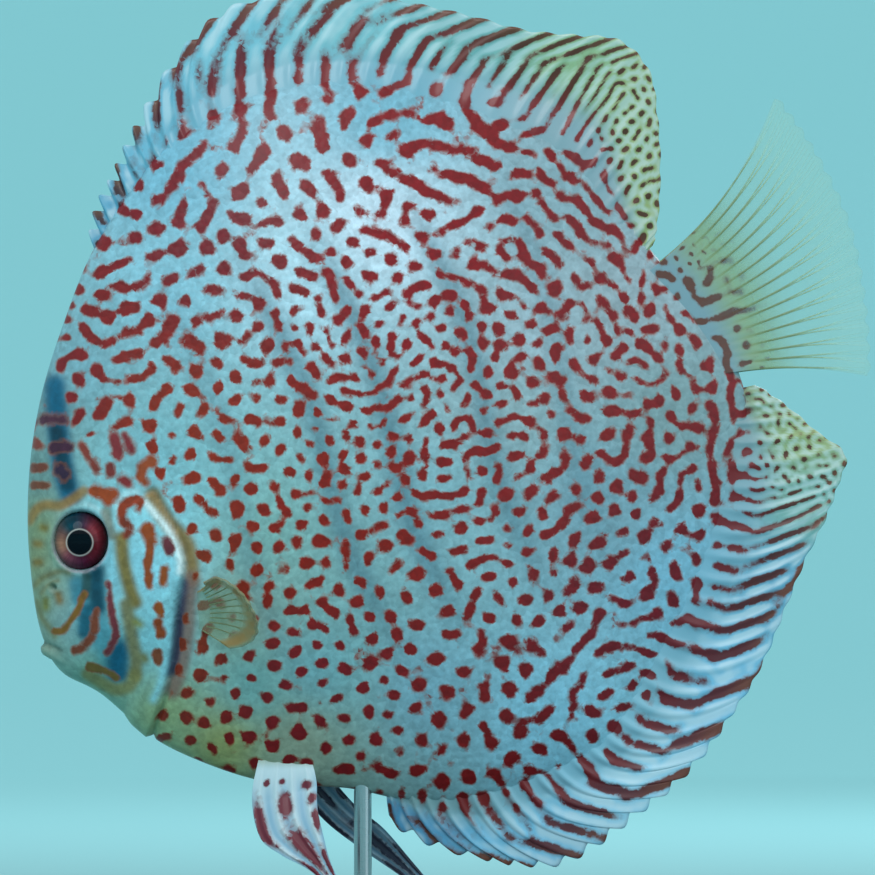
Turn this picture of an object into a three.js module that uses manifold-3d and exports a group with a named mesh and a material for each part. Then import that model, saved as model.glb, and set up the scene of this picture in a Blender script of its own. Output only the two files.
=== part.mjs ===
// Leopard discus (Symphysodon aequifasciatus), a life-size display model swimming head down on a rod and base.
// Millimetres. The fish is built in a level frame of its own: +x runs from the snout to the tail, +z is up,
// -y is the left flank, and the origin is the middle of the disc-shaped body. The whole fish is then pitched.
import * as THREE from "three";
import { mergeVertices } from "three/addons/utils/BufferGeometryUtils.js";
import Module from "manifold-3d";

const wasm = await Module();
wasm.setup();

// Sizes that drive the rest
const PITCH_DEG = 20; // how far the head points down
const DISC_HEIGHT = 95; // middle of the body above the floor
const DISC_FORWARD = -8.9; // middle of the body from the middle of the whole model
const HALF_WIDTH = 16.4; // half of the thickest part of the body
const GAP = 0.3; // kept between parts that touch

// Outline of the body without its fins: angle round the disc in degrees (0 is the tail, 90 the back), radius
const OUTLINE = [
  [3, 59.2],
  [17, 56.6],
  [28, 58.2],
  [38, 62.6],
  [52, 63.2],
  [66, 64.5],
  [80, 66.9],
  [93, 68.5],
  [106, 68.0],
  [118, 66.0],
  [129, 64.9],
  [141, 64.1],
  [154, 65.2],
  [167, 67.4],
  [178, 70.1],
  [182.5, 71.5],
  [186.4, 72.8],
  [189, 73.5],
  [192, 74.1],
  [195, 73.6],
  [198.5, 71.4],
  [201, 70.4],
  [206, 69.8],
  [211, 69.5],
  [219, 67.9],
  [228, 66.2],
  [241, 63.4],
  [250, 64.6],
  [260, 66.3],
  [274, 66.5],
  [284, 67.0],
  [294, 64.0],
  [304, 62.0],
  [320, 61.6],
  [336, 62.3],
  [349, 62.5],
];

// How sharp the rim is, by angle: power of the wedge, and share of it that is rounded over
const RIM = [
  [0, 1.2, 0.16],
  [40, 1.5, 0.1],
  [90, 1.5, 0.1],
  [135, 1.25, 0.14],
  [165, 1.0, 0.3],
  [200, 1.0, 0.3],
  [228, 1.35, 0.14],
  [270, 1.5, 0.1],
  [320, 1.5, 0.1],
];

const EYE = { x: -59.9, z: 2.6, wide: 4.85, high: 5.4, tilt: 20, bulge: 1.7, depth: 3.6 };
const EYE_RIM = { outside: 0.6, rise: 0.5, tube: 0.9 };
const MOUTH = { front: [-73.4, -12.0], corner: [-69.8, -15.1], slit: 0.65, long: 4.4, half: 2.6, upper: 1.1, lower: 1.25 };
const NOSTRIL = { x: -67.6, z: -3.6, radius: 0.7, depth: 1.4 };

// Rear edge of the head, from the nape down along the gill opening to the throat
const HEAD_EDGE = [
  [-46.0, 62],
  [-42.5, 46],
  [-40.0, 30],
  [-41.5, 15],
  [-44.9, 6.4],
  [-43.4, -1.6],
  [-43.8, -7.6],
  [-47.0, -12.6],
  [-49.0, -17.5],
  [-51.6, -23],
  [-55.5, -28.6],
  [-62.0, -36.5],
];
// Front edge of the gill cover, from the top of the gill opening down to the throat
const GILL_FRONT = [
  [-50.6, 5.2],
  [-54.4, -3.2],
  [-55.9, -10.3],
  [-57.6, -17.2],
  [-60.4, -24.5],
  [-66.0, -32.5],
];
const GILL_LIFT = 0.7; // how far the gill cover stands proud
const GILL_DEPTH = 1.2; // how deep its bed is
const TAIL_CUT_X = 47; // where the tail stalk starts

// Rays of the unpaired fins: root angle on the body, tip angle, tip radius
const DORSAL_ROWS = [
  [130.0, 127.5, 66.8],
  [124.5, 122.5, 69.4],
  [119.5, 117.8, 70.7],
  [114.5, 112.9, 73.0],
  [110.5, 107.1, 76.1],
  [106.0, 98.6, 81.2],
  [100.0, 91.5, 84.0],
  [92.5, 83.5, 82.6],
  [85.0, 76.0, 81.0],
  [77.5, 69.0, 79.0],
  [70.0, 61.0, 77.6],
  [61.9, 53.0, 77.3],
  [53.5, 46.5, 79.6],
  [45.8, 41.2, 82.2],
  [38.2, 36.0, 80.3],
  [32.5, 31.2, 74.2],
  [26.0, 25.5, 67.0],
  [19.2, 20.0, 60.6],
  [17.2, 17.6, 57.8],
];
const ANAL_ROWS = [
  [247.6, 248.3, 69.2],
  [250.0, 254.5, 73.6],
  [253.6, 261.2, 77.2],
  [258.0, 265.7, 79.8],
  [262.0, 270.8, 82.0],
  [266.5, 276.4, 81.4],
  [271.0, 282.2, 80.2],
  [276.0, 288.0, 79.8],
  [281.5, 294.0, 79.0],
  [287.0, 299.6, 77.8],
  [293.0, 305.2, 77.2],
  [299.5, 311.0, 76.4],
  [306.0, 317.0, 75.8],
  [313.0, 323.5, 76.2],
  [320.0, 329.4, 78.0],
  [327.0, 334.0, 79.4],
  [333.5, 338.1, 80.4],
  [340.0, 341.2, 75.2],
  [345.0, 345.4, 69.6],
  [348.6, 348.8, 65.0],
];
const CAUDAL_ROWS = [
  [-8.4, -12.2, 85.6],
  [-3.5, -3.4, 87.8],
  [2.0, 5.6, 90.2],
  [8.0, 14.6, 91.4],
  [14.2, 22.4, 92.0],
];

// Pelvic fins, each a ribbon drawn out to a point: share of the way down, x and z of the front edge and of the
// rear edge, and how far the ribbon stands out from the middle plane
const PELVIC_LEFT_ROWS = [
  [0.0, -42.9, -44.2, -34.6, -48.7, 2.4],
  [0.28, -47.0, -51.4, -35.1, -52.6, 4.2],
  [0.5, -48.0, -58.6, -36.6, -57.4, 6.0],
  [0.66, -45.4, -62.8, -37.2, -62.0, 7.2],
  [0.82, -41.4, -67.4, -37.6, -66.9, 8.3],
  [1.0, -37.9, -74.9, -37.1, -74.5, 9.2],
];
const PELVIC_RIGHT_ROWS = [
  [0.0, -42.9, -44.2, -34.6, -48.7, 2.4],
  [0.3, -39.2, -52.5, -32.4, -53.4, 4.0],
  [0.5, -36.0, -60.4, -29.8, -59.8, 5.6],
  [0.66, -31.8, -67.0, -26.8, -64.8, 6.8],
  [0.82, -26.6, -74.4, -24.0, -72.2, 8.2],
  [1.0, -20.8, -83.7, -20.1, -83.1, 9.6],
];
// Pectoral fins: share of the way across, tip x and z, how far the tip stands out from the middle plane, and how
// far the ray bows forward on the way
const PECTORAL_ROWS = [
  [0.0, -41.6, -12.0, 23, -1],
  [0.15, -38.8, -12.0, 31, -1.6],
  [0.35, -36.0, -15.2, 37, -2],
  [0.55, -34.8, -19.2, 38, -2],
  [0.75, -35.2, -23.2, 34, -1.6],
  [0.9, -37.6, -24.9, 28, -1],
  [1.0, -41.0, -24.8, 22, 0],
];
const PECTORAL_ROOT = [
  [-43.4, -13.2],
  [-45.6, -19.2],
];

const PECTORAL_NOTCH = 0.02; // how far its edge falls back between two rays, as a share of the ray

// Fin thickness, half of it
const MEMBRANE = 0.27;
const RAY_AT_ROOT = 1.0;
const RAY_AT_TIP = 0.34;
const FIN_EDGE = 0.16;

const BASE = { length: 116, width: 84, height: 7, corner: 14, chamfer: 1.2 };
const ROD = { x: -15.6, radius: 1.6, flangeRadius: 6.5, flangeHeight: 2.2, sides: 20 };

const rad = THREE.MathUtils.degToRad;

// Smooth curve through rows of [position, value, ...], round and round when period is given
function through(rows, t, period = 0) {
  const n = rows.length;
  const row = (i) => {
    if (!period) return rows[Math.min(n - 1, Math.max(0, i))];
    const turns = Math.floor(i / n);
    const [at, ...rest] = rows[i - turns * n];
    return [at + turns * period, ...rest];
  };
  if (period) t = rows[0][0] + ((((t - rows[0][0]) % period) + period) % period);
  let i = 0;
  while (i < n - (period ? 1 : 2) && t > row(i + 1)[0]) i++;
  const [a, b, c, d] = [row(i - 1), row(i), row(i + 1), row(i + 2)];
  const span = c[0] - b[0];
  const s = Math.min(1, Math.max(0, (t - b[0]) / span));
  return b.slice(1).map((start, k) => {
    const end = c[k + 1];
    const slopeStart = (end - a[k + 1]) / (c[0] - a[0] || 1);
    const slopeEnd = (d[k + 1] - start) / (d[0] - b[0] || 1);
    const [s2, s3] = [s * s, s * s * s];
    return (
      (2 * s3 - 3 * s2 + 1) * start +
      (s3 - 2 * s2 + s) * span * slopeStart +
      (3 * s2 - 2 * s3) * end +
      (s3 - s2) * span * slopeEnd
    );
  });
}

const smoothstep = THREE.MathUtils.smoothstep;
const outlineRadius = (deg) => through(OUTLINE, deg, 360)[0];

// Half thickness at the middle of the body, by place: thinner towards the tail and the back
function fullness(x, z) {
  return HALF_WIDTH * (1 - 0.5 * smoothstep(x, -12, 62)) * (1 - 0.1 * smoothstep(z, 0, 60));
}

// Half thickness of the body over the point (x, z) of the middle plane, 0 outside the outline
function halfThickness(x, z, grow = 0) {
  const deg = THREE.MathUtils.radToDeg(Math.atan2(z, x));
  const rho = Math.hypot(x, z) / (outlineRadius(deg) + grow);
  if (rho >= 1) return 0;
  const [power, rounded] = through(RIM, deg, 360);
  const c = Math.sqrt(1 - rho * rho);
  return (fullness(x, z) + grow) * ((1 - rounded) * c ** power + rounded * c);
}

// Geometry in and out of manifold-3d
function solid(geometry) {
  const bare = new THREE.BufferGeometry();
  bare.setAttribute("position", geometry.getAttribute("position"));
  if (geometry.index) bare.setIndex(geometry.index);
  const merged = mergeVertices(bare, 1e-4);
  const mesh = { numProp: 3, vertProperties: merged.attributes.position.array };
  return new wasm.Manifold(new wasm.Mesh({ ...mesh, triVerts: new Uint32Array(merged.index.array) }));
}

function geometryOf(manifold) {
  const mesh = manifold.getMesh();
  const geometry = new THREE.BufferGeometry();
  geometry.setAttribute("position", new THREE.BufferAttribute(new Float32Array(mesh.vertProperties), 3));
  geometry.setIndex(new THREE.BufferAttribute(new Uint32Array(mesh.triVerts), 1));
  geometry.computeVertexNormals();
  return geometry;
}

const largest = (manifold) => manifold.decompose().sort((a, b) => b.volume() - a.volume())[0];

function geometryFrom(points, triangles) {
  const geometry = new THREE.BufferGeometry();
  geometry.setAttribute("position", new THREE.Float32BufferAttribute(points.flatMap((p) => [p.x, p.y, p.z]), 3));
  geometry.setIndex(triangles);
  return geometry;
}

function facingOut(points, triangles) {
  const made = solid(geometryFrom(points, triangles));
  return made.volume() < 0 ? solid(geometryFrom(points, triangles.reverse())) : made;
}

// The disc-shaped body as a closed surface: a square grid laid over each flank, the two joined at the rim
function bodySurface(cells, grow = 0) {
  const points = [];
  const triangles = [];
  const index = new Map();
  const vertex = (i, j, side) => {
    const rim = i === 0 || j === 0 || i === cells || j === cells;
    const key = `${i},${j},${rim ? 0 : side}`;
    if (!index.has(key)) {
      const a = (2 * i) / cells - 1;
      const b = (2 * j) / cells - 1;
      const s = Math.max(Math.abs(a), Math.abs(b));
      let turn = 0;
      if (s > 0) turn = Math.abs(a) > Math.abs(b) ? (Math.PI / 4) * (b / a) : Math.PI / 2 - (Math.PI / 4) * (a / b);
      if (s > 0 && (Math.abs(a) > Math.abs(b) ? a : b) < 0) turn += Math.PI;
      const rho = s * (1 + 0.3 * (1 - s * s));
      const reach = rho * (outlineRadius(THREE.MathUtils.radToDeg(turn)) + grow);
      const [x, z] = [reach * Math.cos(turn), reach * Math.sin(turn)];
      index.set(key, points.length);
      points.push(new THREE.Vector3(x, rim ? 0 : side * halfThickness(x, z, grow), z));
    }
    return index.get(key);
  };
  for (const side of [-1, 1]) {
    for (let i = 0; i < cells; i++) {
      for (let j = 0; j < cells; j++) {
        const [p, q, r, s] = [vertex(i, j, side), vertex(i + 1, j, side), vertex(i + 1, j + 1, side), vertex(i, j + 1, side)];
        if (side < 0) triangles.push(p, q, r, p, r, s);
        else triangles.push(p, r, q, p, s, r);
      }
    }
  }
  return solid(geometryFrom(points, triangles));
}

// A block with the given outline in x and z, as thick as asked across the fish
function slab(outline, yLow = -60, yHigh = 60) {
  const shape = new THREE.Shape(outline.map(([x, z]) => new THREE.Vector2(x, z)));
  const block = new THREE.ExtrudeGeometry(shape, { depth: yHigh - yLow, bevelEnabled: false });
  return solid(block.rotateX(Math.PI / 2).translate(0, yHigh, 0));
}

// Closely spaced points of a smooth curve through a few
function eased(points, count) {
  const curve = new THREE.CatmullRomCurve3(points.map(([x, z]) => new THREE.Vector3(x, z, 0)), false, "centripetal");
  return curve.getPoints(count).map((p) => [p.x, p.y]);
}

// A closed round ring along an ellipse: its middle, its two half axes as vectors, and the radius of the tube.
// settle moves a point of the centre line, for a ring that lies on a curved surface
function ring(middle, axisA, axisB, tube, around, sides, settle = (p) => p) {
  const points = [];
  const triangles = [];
  const up = axisA.clone().cross(axisB).normalize();
  for (let i = 0; i < around; i++) {
    const turn = (2 * Math.PI * i) / around;
    const centre = middle.clone().addScaledVector(axisA, Math.cos(turn)).addScaledVector(axisB, Math.sin(turn));
    const ahead = axisB.clone().multiplyScalar(Math.cos(turn)).addScaledVector(axisA, -Math.sin(turn)).normalize();
    const out = ahead.clone().cross(up);
    const at = settle(centre);
    for (let k = 0; k < sides; k++) {
      const spin = (2 * Math.PI * k) / sides;
      points.push(at.clone().addScaledVector(out, tube * Math.cos(spin)).addScaledVector(up, tube * Math.sin(spin)));
      const [j, l] = [(i + 1) % around, (k + 1) % sides];
      const [p, q, r, s] = [i * sides + k, j * sides + k, j * sides + l, i * sides + l];
      triangles.push(p, q, r, p, r, s);
    }
  }
  return facingOut(points, triangles);
}

// A fin as one thin plate: place(u, v) is its middle surface, u across the rays and v from root to edge,
// and half(ray, v) its half thickness, ray being 1 on a ray and 0 between two. The thickness goes across the
// middle plane of the fish, or square to the fin where it stands out from the body
function finPlate({ rays, steps, place, half, standsOut = false }) {
  const across = 2 * rays;
  const points = [];
  const triangles = [];
  const nudge = 1e-3;
  for (const side of [-1, 1]) {
    for (let i = 0; i <= across; i++) {
      for (let j = 0; j <= steps; j++) {
        const [u, v] = [i / across, j / steps];
        const ray = i % 2;
        const at = place(u, v, ray);
        const [u0, u1] = [Math.max(0, u - nudge), Math.min(1, u + nudge)];
        const [v0, v1] = [Math.max(0, v - nudge), Math.min(1, v + nudge)];
        const alongU = place(u1, v, ray).sub(place(u0, v, ray));
        const alongV = place(u, v1, ray).sub(place(u, v0, ray));
        const normal = standsOut ? alongU.cross(alongV).normalize() : new THREE.Vector3(0, 1, 0);
        points.push(at.addScaledVector(normal, side * half(ray, v, u)));
      }
    }
  }
  const layer = (across + 1) * (steps + 1);
  const vertex = (i, j, side) => (side > 0 ? layer : 0) + i * (steps + 1) + j;
  const wall = (i0, j0, i1, j1) => {
    const [p, q, r, s] = [vertex(i0, j0, -1), vertex(i1, j1, -1), vertex(i1, j1, 1), vertex(i0, j0, 1)];
    triangles.push(p, q, r, p, r, s);
  };
  for (let i = 0; i < across; i++) {
    for (let j = 0; j < steps; j++) {
      for (const side of [-1, 1]) {
        const [p, q, r, s] = [vertex(i, j, side), vertex(i + 1, j, side), vertex(i + 1, j + 1, side), vertex(i, j + 1, side)];
        if (side > 0) triangles.push(p, q, r, p, r, s);
        else triangles.push(p, r, q, p, s, r);
      }
    }
    wall(i, 0, i + 1, 0);
    wall(i + 1, steps, i, steps);
  }
  for (let j = 0; j < steps; j++) {
    wall(0, j + 1, 0, j);
    wall(across, j, across, j + 1);
  }
  return facingOut(points, triangles);
}

// Half thickness from root to edge, on a ray and between two
function finHalf(rootHalf) {
  return (ray, v) => {
    if (v >= 1) return FIN_EDGE;
    const body = rootHalf * (1 - smoothstep(v, 0, 0.45));
    const ridge = THREE.MathUtils.lerp(RAY_AT_ROOT, RAY_AT_TIP, v) - MEMBRANE;
    return Math.max(MEMBRANE, body) + (ray ? Math.max(0, ridge) * smoothstep(v, 0.02, 0.3) * 0.6 + 0.12 : 0);
  };
}

// An unpaired fin in the middle plane. Its rays leave the body square and bend to the tail.
// notch(u) is how far the edge falls back between two rays, sway how far the edge leans to one side
function medianFin({ rows, rays, steps, inset, rootHalf, notch, sway }) {
  const table = rows.map((row, i) => [i / (rows.length - 1), ...row]);
  const place = (u, v, ray) => {
    const [rootDeg, tipDeg, tipRadius] = through(table, u);
    const [root, tip] = [rad(rootDeg), rad(tipDeg)];
    const start = outlineRadius(rootDeg) - inset;
    const end = tipRadius - (ray ? 0 : notch(u));
    const [x0, z0] = [start * Math.cos(root), start * Math.sin(root)];
    const [x2, z2] = [end * Math.cos(tip), end * Math.sin(tip)];
    const reach = 0.5 * Math.hypot(x2 - x0, z2 - z0);
    const [x1, z1] = [x0 + reach * Math.cos(root), z0 + reach * Math.sin(root)];
    const w = 1 - v;
    return new THREE.Vector3(
      w * w * x0 + 2 * v * w * x1 + v * v * x2,
      sway(u) * v * v,
      w * w * z0 + 2 * v * w * z1 + v * v * z2,
    );
  };
  return finPlate({ rays, steps, place, half: finHalf(rootHalf) });
}

// Body, parted into head, torso and tail stalk by thin cuts
const HEAD_CELLS = 36;
const BODY_CELLS = 24;
const headCurve = eased(HEAD_EDGE, 30);
const shifted = (curve, dx) => curve.map(([x, z]) => [x + dx, z]);
const headBlock = slab([...shifted(headCurve, -GAP / 2), [-90, -60], [-90, 62]]);
const torsoBlock = slab([...shifted(headCurve, GAP / 2), [-62, -90], [TAIL_CUT_X - GAP / 2, -90], [TAIL_CUT_X - GAP / 2, 90], [-30, 90]]);
const tailBlock = slab([[TAIL_CUT_X + GAP / 2, -80], [90, -80], [90, 80], [TAIL_CUT_X + GAP / 2, 80]]);
const coarseBody = bodySurface(BODY_CELLS);
const fineBody = bodySurface(HEAD_CELLS);
const clearOfBody = bodySurface(BODY_CELLS, GAP).add(bodySurface(HEAD_CELLS, GAP).intersect(headBlock));

// Eyes: flattened balls set in sockets
function eyeball(side, grow) {
  const ball = new THREE.SphereGeometry(1, 20, 12).rotateX(Math.PI / 2);
  ball.scale(EYE.wide + grow, EYE.depth + grow, EYE.high + grow);
  ball.rotateY(rad(EYE.tilt));
  const surface = halfThickness(EYE.x, EYE.z);
  return solid(ball.translate(EYE.x, side * (surface + EYE.bulge - EYE.depth), EYE.z));
}

// Low rim of skin round the eye
function eyeRim(side) {
  const across = new THREE.Vector3(EYE.wide + EYE_RIM.outside, 0, 0);
  const up = new THREE.Vector3(0, 0, EYE.high + EYE_RIM.outside);
  const turn = new THREE.Euler(0, rad(EYE.tilt), 0);
  const settle = (p) => p.setY(side * (halfThickness(p.x, p.z) + EYE_RIM.rise - EYE_RIM.tube));
  const middle = new THREE.Vector3(EYE.x, 0, EYE.z);
  return ring(middle, across.applyEuler(turn), up.applyEuler(turn), EYE_RIM.tube, 20, 6, settle);
}

// A lip: a ring laid flat in the snout, so that only its front and sides show. offset is up from the mouth line
function lip(offset, tube) {
  const front = new THREE.Vector3(MOUTH.front[0], 0, MOUTH.front[1]);
  const corner = new THREE.Vector3(MOUTH.corner[0], 0, MOUTH.corner[1]);
  const back = corner.clone().sub(front).normalize();
  const up = back.clone().cross(new THREE.Vector3(0, 1, 0));
  const middle = front.clone().addScaledVector(back, MOUTH.long + tube).addScaledVector(up, offset);
  return ring(middle, back.clone().multiplyScalar(MOUTH.long), new THREE.Vector3(0, MOUTH.half, 0), tube, 18, 8);
}

// The slit between the lips
function mouthSlit() {
  const [fx, fz] = MOUTH.front;
  const [cx, cz] = MOUTH.corner;
  const length = Math.hypot(fx - cx, fz - cz);
  const [nx, nz] = [((fz - cz) / length) * MOUTH.slit, (-(fx - cx) / length) * MOUTH.slit];
  const [ox, oz] = [fx + (fx - cx) * 0.6, fz + (fz - cz) * 0.6];
  return slab([[cx, cz], [ox + nx, oz + nz], [ox - nx, oz - nz]]);
}

function nostril(side) {
  const pit = new THREE.CylinderGeometry(NOSTRIL.radius, NOSTRIL.radius * 0.6, 2 * NOSTRIL.depth, 8);
  return solid(pit.translate(NOSTRIL.x, side * halfThickness(NOSTRIL.x, NOSTRIL.z), NOSTRIL.z));
}

// Gill covers: plates lying in shallow beds on the cheeks
const gillFront = eased(GILL_FRONT, 10);
const gillRear = headCurve.filter(([, z]) => z < 6.6).map(([x, z]) => [x - GAP / 2, z]);
function gillSlab(side, widen) {
  const outline = [...shifted(gillRear, widen ? 3 : 0), ...shifted(gillFront, -widen).reverse()];
  if (widen) outline.push([-47.5, 7.6]);
  return slab(outline, side < 0 ? -60 : 1.5, side < 0 ? -1.5 : 60);
}
const gillOuter = bodySurface(HEAD_CELLS, GILL_LIFT);
const gillInner = bodySurface(HEAD_CELLS, -GILL_DEPTH);
const gillBed = bodySurface(HEAD_CELLS, -GILL_DEPTH - GAP);
const gillCover = (side) => largest(gillOuter.intersect(gillSlab(side, 0)).subtract(gillInner));
const gillRoom = (side) => gillSlab(side, GAP).subtract(gillBed);

let head = fineBody.intersect(headBlock);
head = head.add(lip(MOUTH.upper - 0.1, MOUTH.upper)).add(lip(0.1 - MOUTH.lower, MOUTH.lower));
for (const side of [-1, 1]) head = head.add(eyeRim(side)).subtract(eyeball(side, GAP)).subtract(nostril(side));
head = head.subtract(mouthSlit()).subtract(gillRoom(-1)).subtract(gillRoom(1));
head = largest(head);
const torso = largest(coarseBody.intersect(torsoBlock));
const tailStalk = largest(coarseBody.intersect(tailBlock));

// Unpaired fins
const dorsalFin = largest(
  medianFin({
    rows: DORSAL_ROWS,
    rays: 34,
    steps: 5,
    inset: 4,
    rootHalf: 1.7,
    notch: (u) => 0.5 + 1.6 * (1 - smoothstep(u, 0.2, 0.42)),
    sway: (u) => 1.6 * Math.sin(5.5 * u + 0.4),
  }).subtract(clearOfBody),
);
const analFin = largest(
  medianFin({
    rows: ANAL_ROWS,
    rays: 32,
    steps: 5,
    inset: 4,
    rootHalf: 1.7,
    notch: (u) => 0.5 + 1.1 * (1 - smoothstep(u, 0.3, 0.55)),
    sway: (u) => 1.6 * Math.sin(5 * u + 2.2),
  }).subtract(clearOfBody),
);
const caudalFin = largest(
  medianFin({
    rows: CAUDAL_ROWS,
    rays: 16,
    steps: 6,
    inset: 5,
    rootHalf: 2,
    notch: () => 0.8,
    sway: (u) => 3 + 1.2 * Math.sin(4 * u),
  }).subtract(clearOfBody),
);

// Pelvic fins hang from the belly, pectoral fins stand out behind the gill covers. side is -1 on the left
function pelvicFin(side, rows) {
  const place = (u, v) => {
    const [frontX, frontZ, rearX, rearZ, out] = through(rows, v);
    return new THREE.Vector3(frontX, side * out, frontZ).lerp(new THREE.Vector3(rearX, side * out, rearZ), u);
  };
  const plate = finPlate({ rays: 4, steps: 12, place, half: finHalf(1.3) });
  return largest(plate.subtract(clearOfBody));
}
function pectoralFin(side) {
  const [top, foot] = PECTORAL_ROOT;
  const place = (u, v, ray) => {
    const [tipX, tipZ, tipOut, bow] = through(PECTORAL_ROWS, u);
    const x = THREE.MathUtils.lerp(top[0], foot[0], u);
    const z = THREE.MathUtils.lerp(top[1], foot[1], u);
    const root = new THREE.Vector3(x, side * (halfThickness(x, z) - 2), z);
    const at = root.lerp(new THREE.Vector3(tipX, side * tipOut, tipZ), v * (ray ? 1 : 1 - PECTORAL_NOTCH));
    at.x -= 4 * bow * v * (1 - v);
    return at;
  };
  const plate = finPlate({ rays: 11, steps: 6, place, half: finHalf(1), standsOut: true });
  return largest(plate.subtract(clearOfBody));
}

const finish = (name, color, roughness, metalness = 0) => ({ name, color, roughness, metalness });
const SKIN = finish("skin", 0x8fb9c4, 0.35);
const FIN = finish("fin", 0x9fcfd6, 0.4);
const EYE_RED = finish("eye", 0x7a1e22, 0.15);
const STEEL = finish("steel", 0xb9bdc1, 0.3, 1);
const LACQUER = finish("lacquer", 0x2b2b2e, 0.4);

function node(name, manifold, look) {
  const material = new THREE.MeshStandardMaterial(look);
  const mesh = new THREE.Mesh(geometryOf(manifold), material);
  mesh.name = name;
  return mesh;
}

const fish = new THREE.Group();
fish.add(
  node("head", head, SKIN),
  node("torso", torso, SKIN),
  node("tail_stalk", tailStalk, SKIN),
  node("gill_cover_left", gillCover(-1), SKIN),
  node("gill_cover_right", gillCover(1), SKIN),
  node("eye_left", eyeball(-1, 0), EYE_RED),
  node("eye_right", eyeball(1, 0), EYE_RED),
  node("dorsal_fin", dorsalFin, FIN),
  node("anal_fin", analFin, FIN),
  node("caudal_fin", caudalFin, FIN),
  node("pelvic_fin_left", pelvicFin(-1, PELVIC_LEFT_ROWS), FIN),
  node("pelvic_fin_right", pelvicFin(1, PELVIC_RIGHT_ROWS), FIN),
  node("pectoral_fin_left", pectoralFin(-1), FIN),
  node("pectoral_fin_right", pectoralFin(1), FIN),
);
fish.rotation.y = -rad(PITCH_DEG);
fish.position.set(DISC_FORWARD, 0, DISC_HEIGHT);
fish.updateMatrixWorld(true);

// Display stand: a flat base and one rod up to the belly
function standBase() {
  const [a, b, r] = [BASE.length / 2, BASE.width / 2, BASE.corner];
  const inset = BASE.chamfer;
  const shape = new THREE.Shape();
  shape.moveTo(-a + r, -b + inset);
  shape.lineTo(a - r, -b + inset);
  shape.absarc(a - r, -b + r, r - inset, -Math.PI / 2, 0);
  shape.absarc(a - r, b - r, r - inset, 0, Math.PI / 2);
  shape.absarc(-a + r, b - r, r - inset, Math.PI / 2, Math.PI);
  shape.absarc(-a + r, -b + r, r - inset, Math.PI, 1.5 * Math.PI);
  const bevel = { bevelEnabled: true, bevelThickness: inset, bevelSize: inset, bevelSegments: 1, curveSegments: 6 };
  const plate = new THREE.ExtrudeGeometry(shape, { depth: BASE.height - 2 * inset, ...bevel });
  return solid(plate.translate(0, 0, inset));
}

function standRod() {
  const foot = BASE.height + GAP;
  const [flange, rise] = [ROD.flangeRadius, ROD.flangeHeight];
  const profile = [
    [0, foot],
    [flange, foot],
    [flange, foot + rise * 0.6],
    [flange * 0.8, foot + rise],
    [ROD.radius * 1.4, foot + rise + 0.6],
    [ROD.radius, foot + rise + 2],
    [ROD.radius, DISC_HEIGHT - 45],
    [0, DISC_HEIGHT - 45],
  ];
  const turned = new THREE.LatheGeometry(profile.map(([r, z]) => new THREE.Vector2(r, z)), ROD.sides);
  const rod = solid(turned.rotateX(Math.PI / 2).translate(ROD.x, 0, 0));
  return largest(rod.subtract(clearOfBody.transform(fish.matrixWorld.elements)));
}

const model = new THREE.Group();
model.add(fish, node("stand_base", standBase(), LACQUER), node("stand_rod", standRod(), STEEL));

export default model;
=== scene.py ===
import math

import bmesh
import bpy
import numpy as np
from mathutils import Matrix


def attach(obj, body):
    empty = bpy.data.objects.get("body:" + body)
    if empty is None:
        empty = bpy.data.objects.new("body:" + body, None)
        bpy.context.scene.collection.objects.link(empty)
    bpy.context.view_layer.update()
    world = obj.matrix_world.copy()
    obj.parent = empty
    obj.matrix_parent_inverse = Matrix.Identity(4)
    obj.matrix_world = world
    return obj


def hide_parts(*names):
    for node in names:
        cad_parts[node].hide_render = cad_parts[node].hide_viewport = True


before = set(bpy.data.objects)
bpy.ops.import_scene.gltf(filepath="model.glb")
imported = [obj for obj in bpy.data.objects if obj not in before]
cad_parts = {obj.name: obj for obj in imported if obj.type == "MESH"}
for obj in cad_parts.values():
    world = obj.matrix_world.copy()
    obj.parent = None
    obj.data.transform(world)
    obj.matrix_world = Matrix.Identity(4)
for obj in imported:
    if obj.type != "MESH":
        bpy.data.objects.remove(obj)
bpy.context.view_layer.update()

# Skin
# One unbroken painted skin over head, trunk, tail stalk and both gill covers, cast in resin and airbrushed.
# It is the CAD's own disc shape, laid out in fine rings that are closest on the head, with lips, nostrils,
# eye sockets, gill openings and cheeks raised on it. Lengths are millimetres in the fish's level frame.
PITCH = math.radians(20)
DISC_MIDDLE = (-8.9, 95.0)
HALF_WIDTH = 16.4
# Outline of the disc: degrees round its middle, radius
OUTLINE = [
    (3, 59.2), (17, 56.6), (28, 58.2), (38, 62.6), (52, 63.2), (66, 64.5), (80, 66.9), (93, 68.5),
    (106, 68), (118, 66), (129, 64.9), (141, 64.1), (154, 65.2), (167, 67.4), (178, 70.1),
    (182.5, 71.5), (186.4, 72.8), (189, 73.5), (192, 74.1), (195, 73.6), (198.5, 71.4), (201, 70.4),
    (206, 69.8), (211, 69.5), (219, 67.9), (228, 66.2), (241, 63.4), (250, 64.6), (260, 66.3),
    (274, 66.5), (284, 67), (294, 64), (304, 62), (320, 61.6), (336, 62.3), (349, 62.5),
]
# How the flanks round off to the rim: degrees, power of the curve, how much of a circle is in it
RIM = [
    (0, 1.2, 0.16), (40, 1.5, 0.1), (90, 1.5, 0.1), (135, 1.25, 0.14), (165, 1, 0.3), (200, 1, 0.3),
    (228, 1.35, 0.14), (270, 1.5, 0.1), (320, 1.5, 0.1),
]


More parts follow.
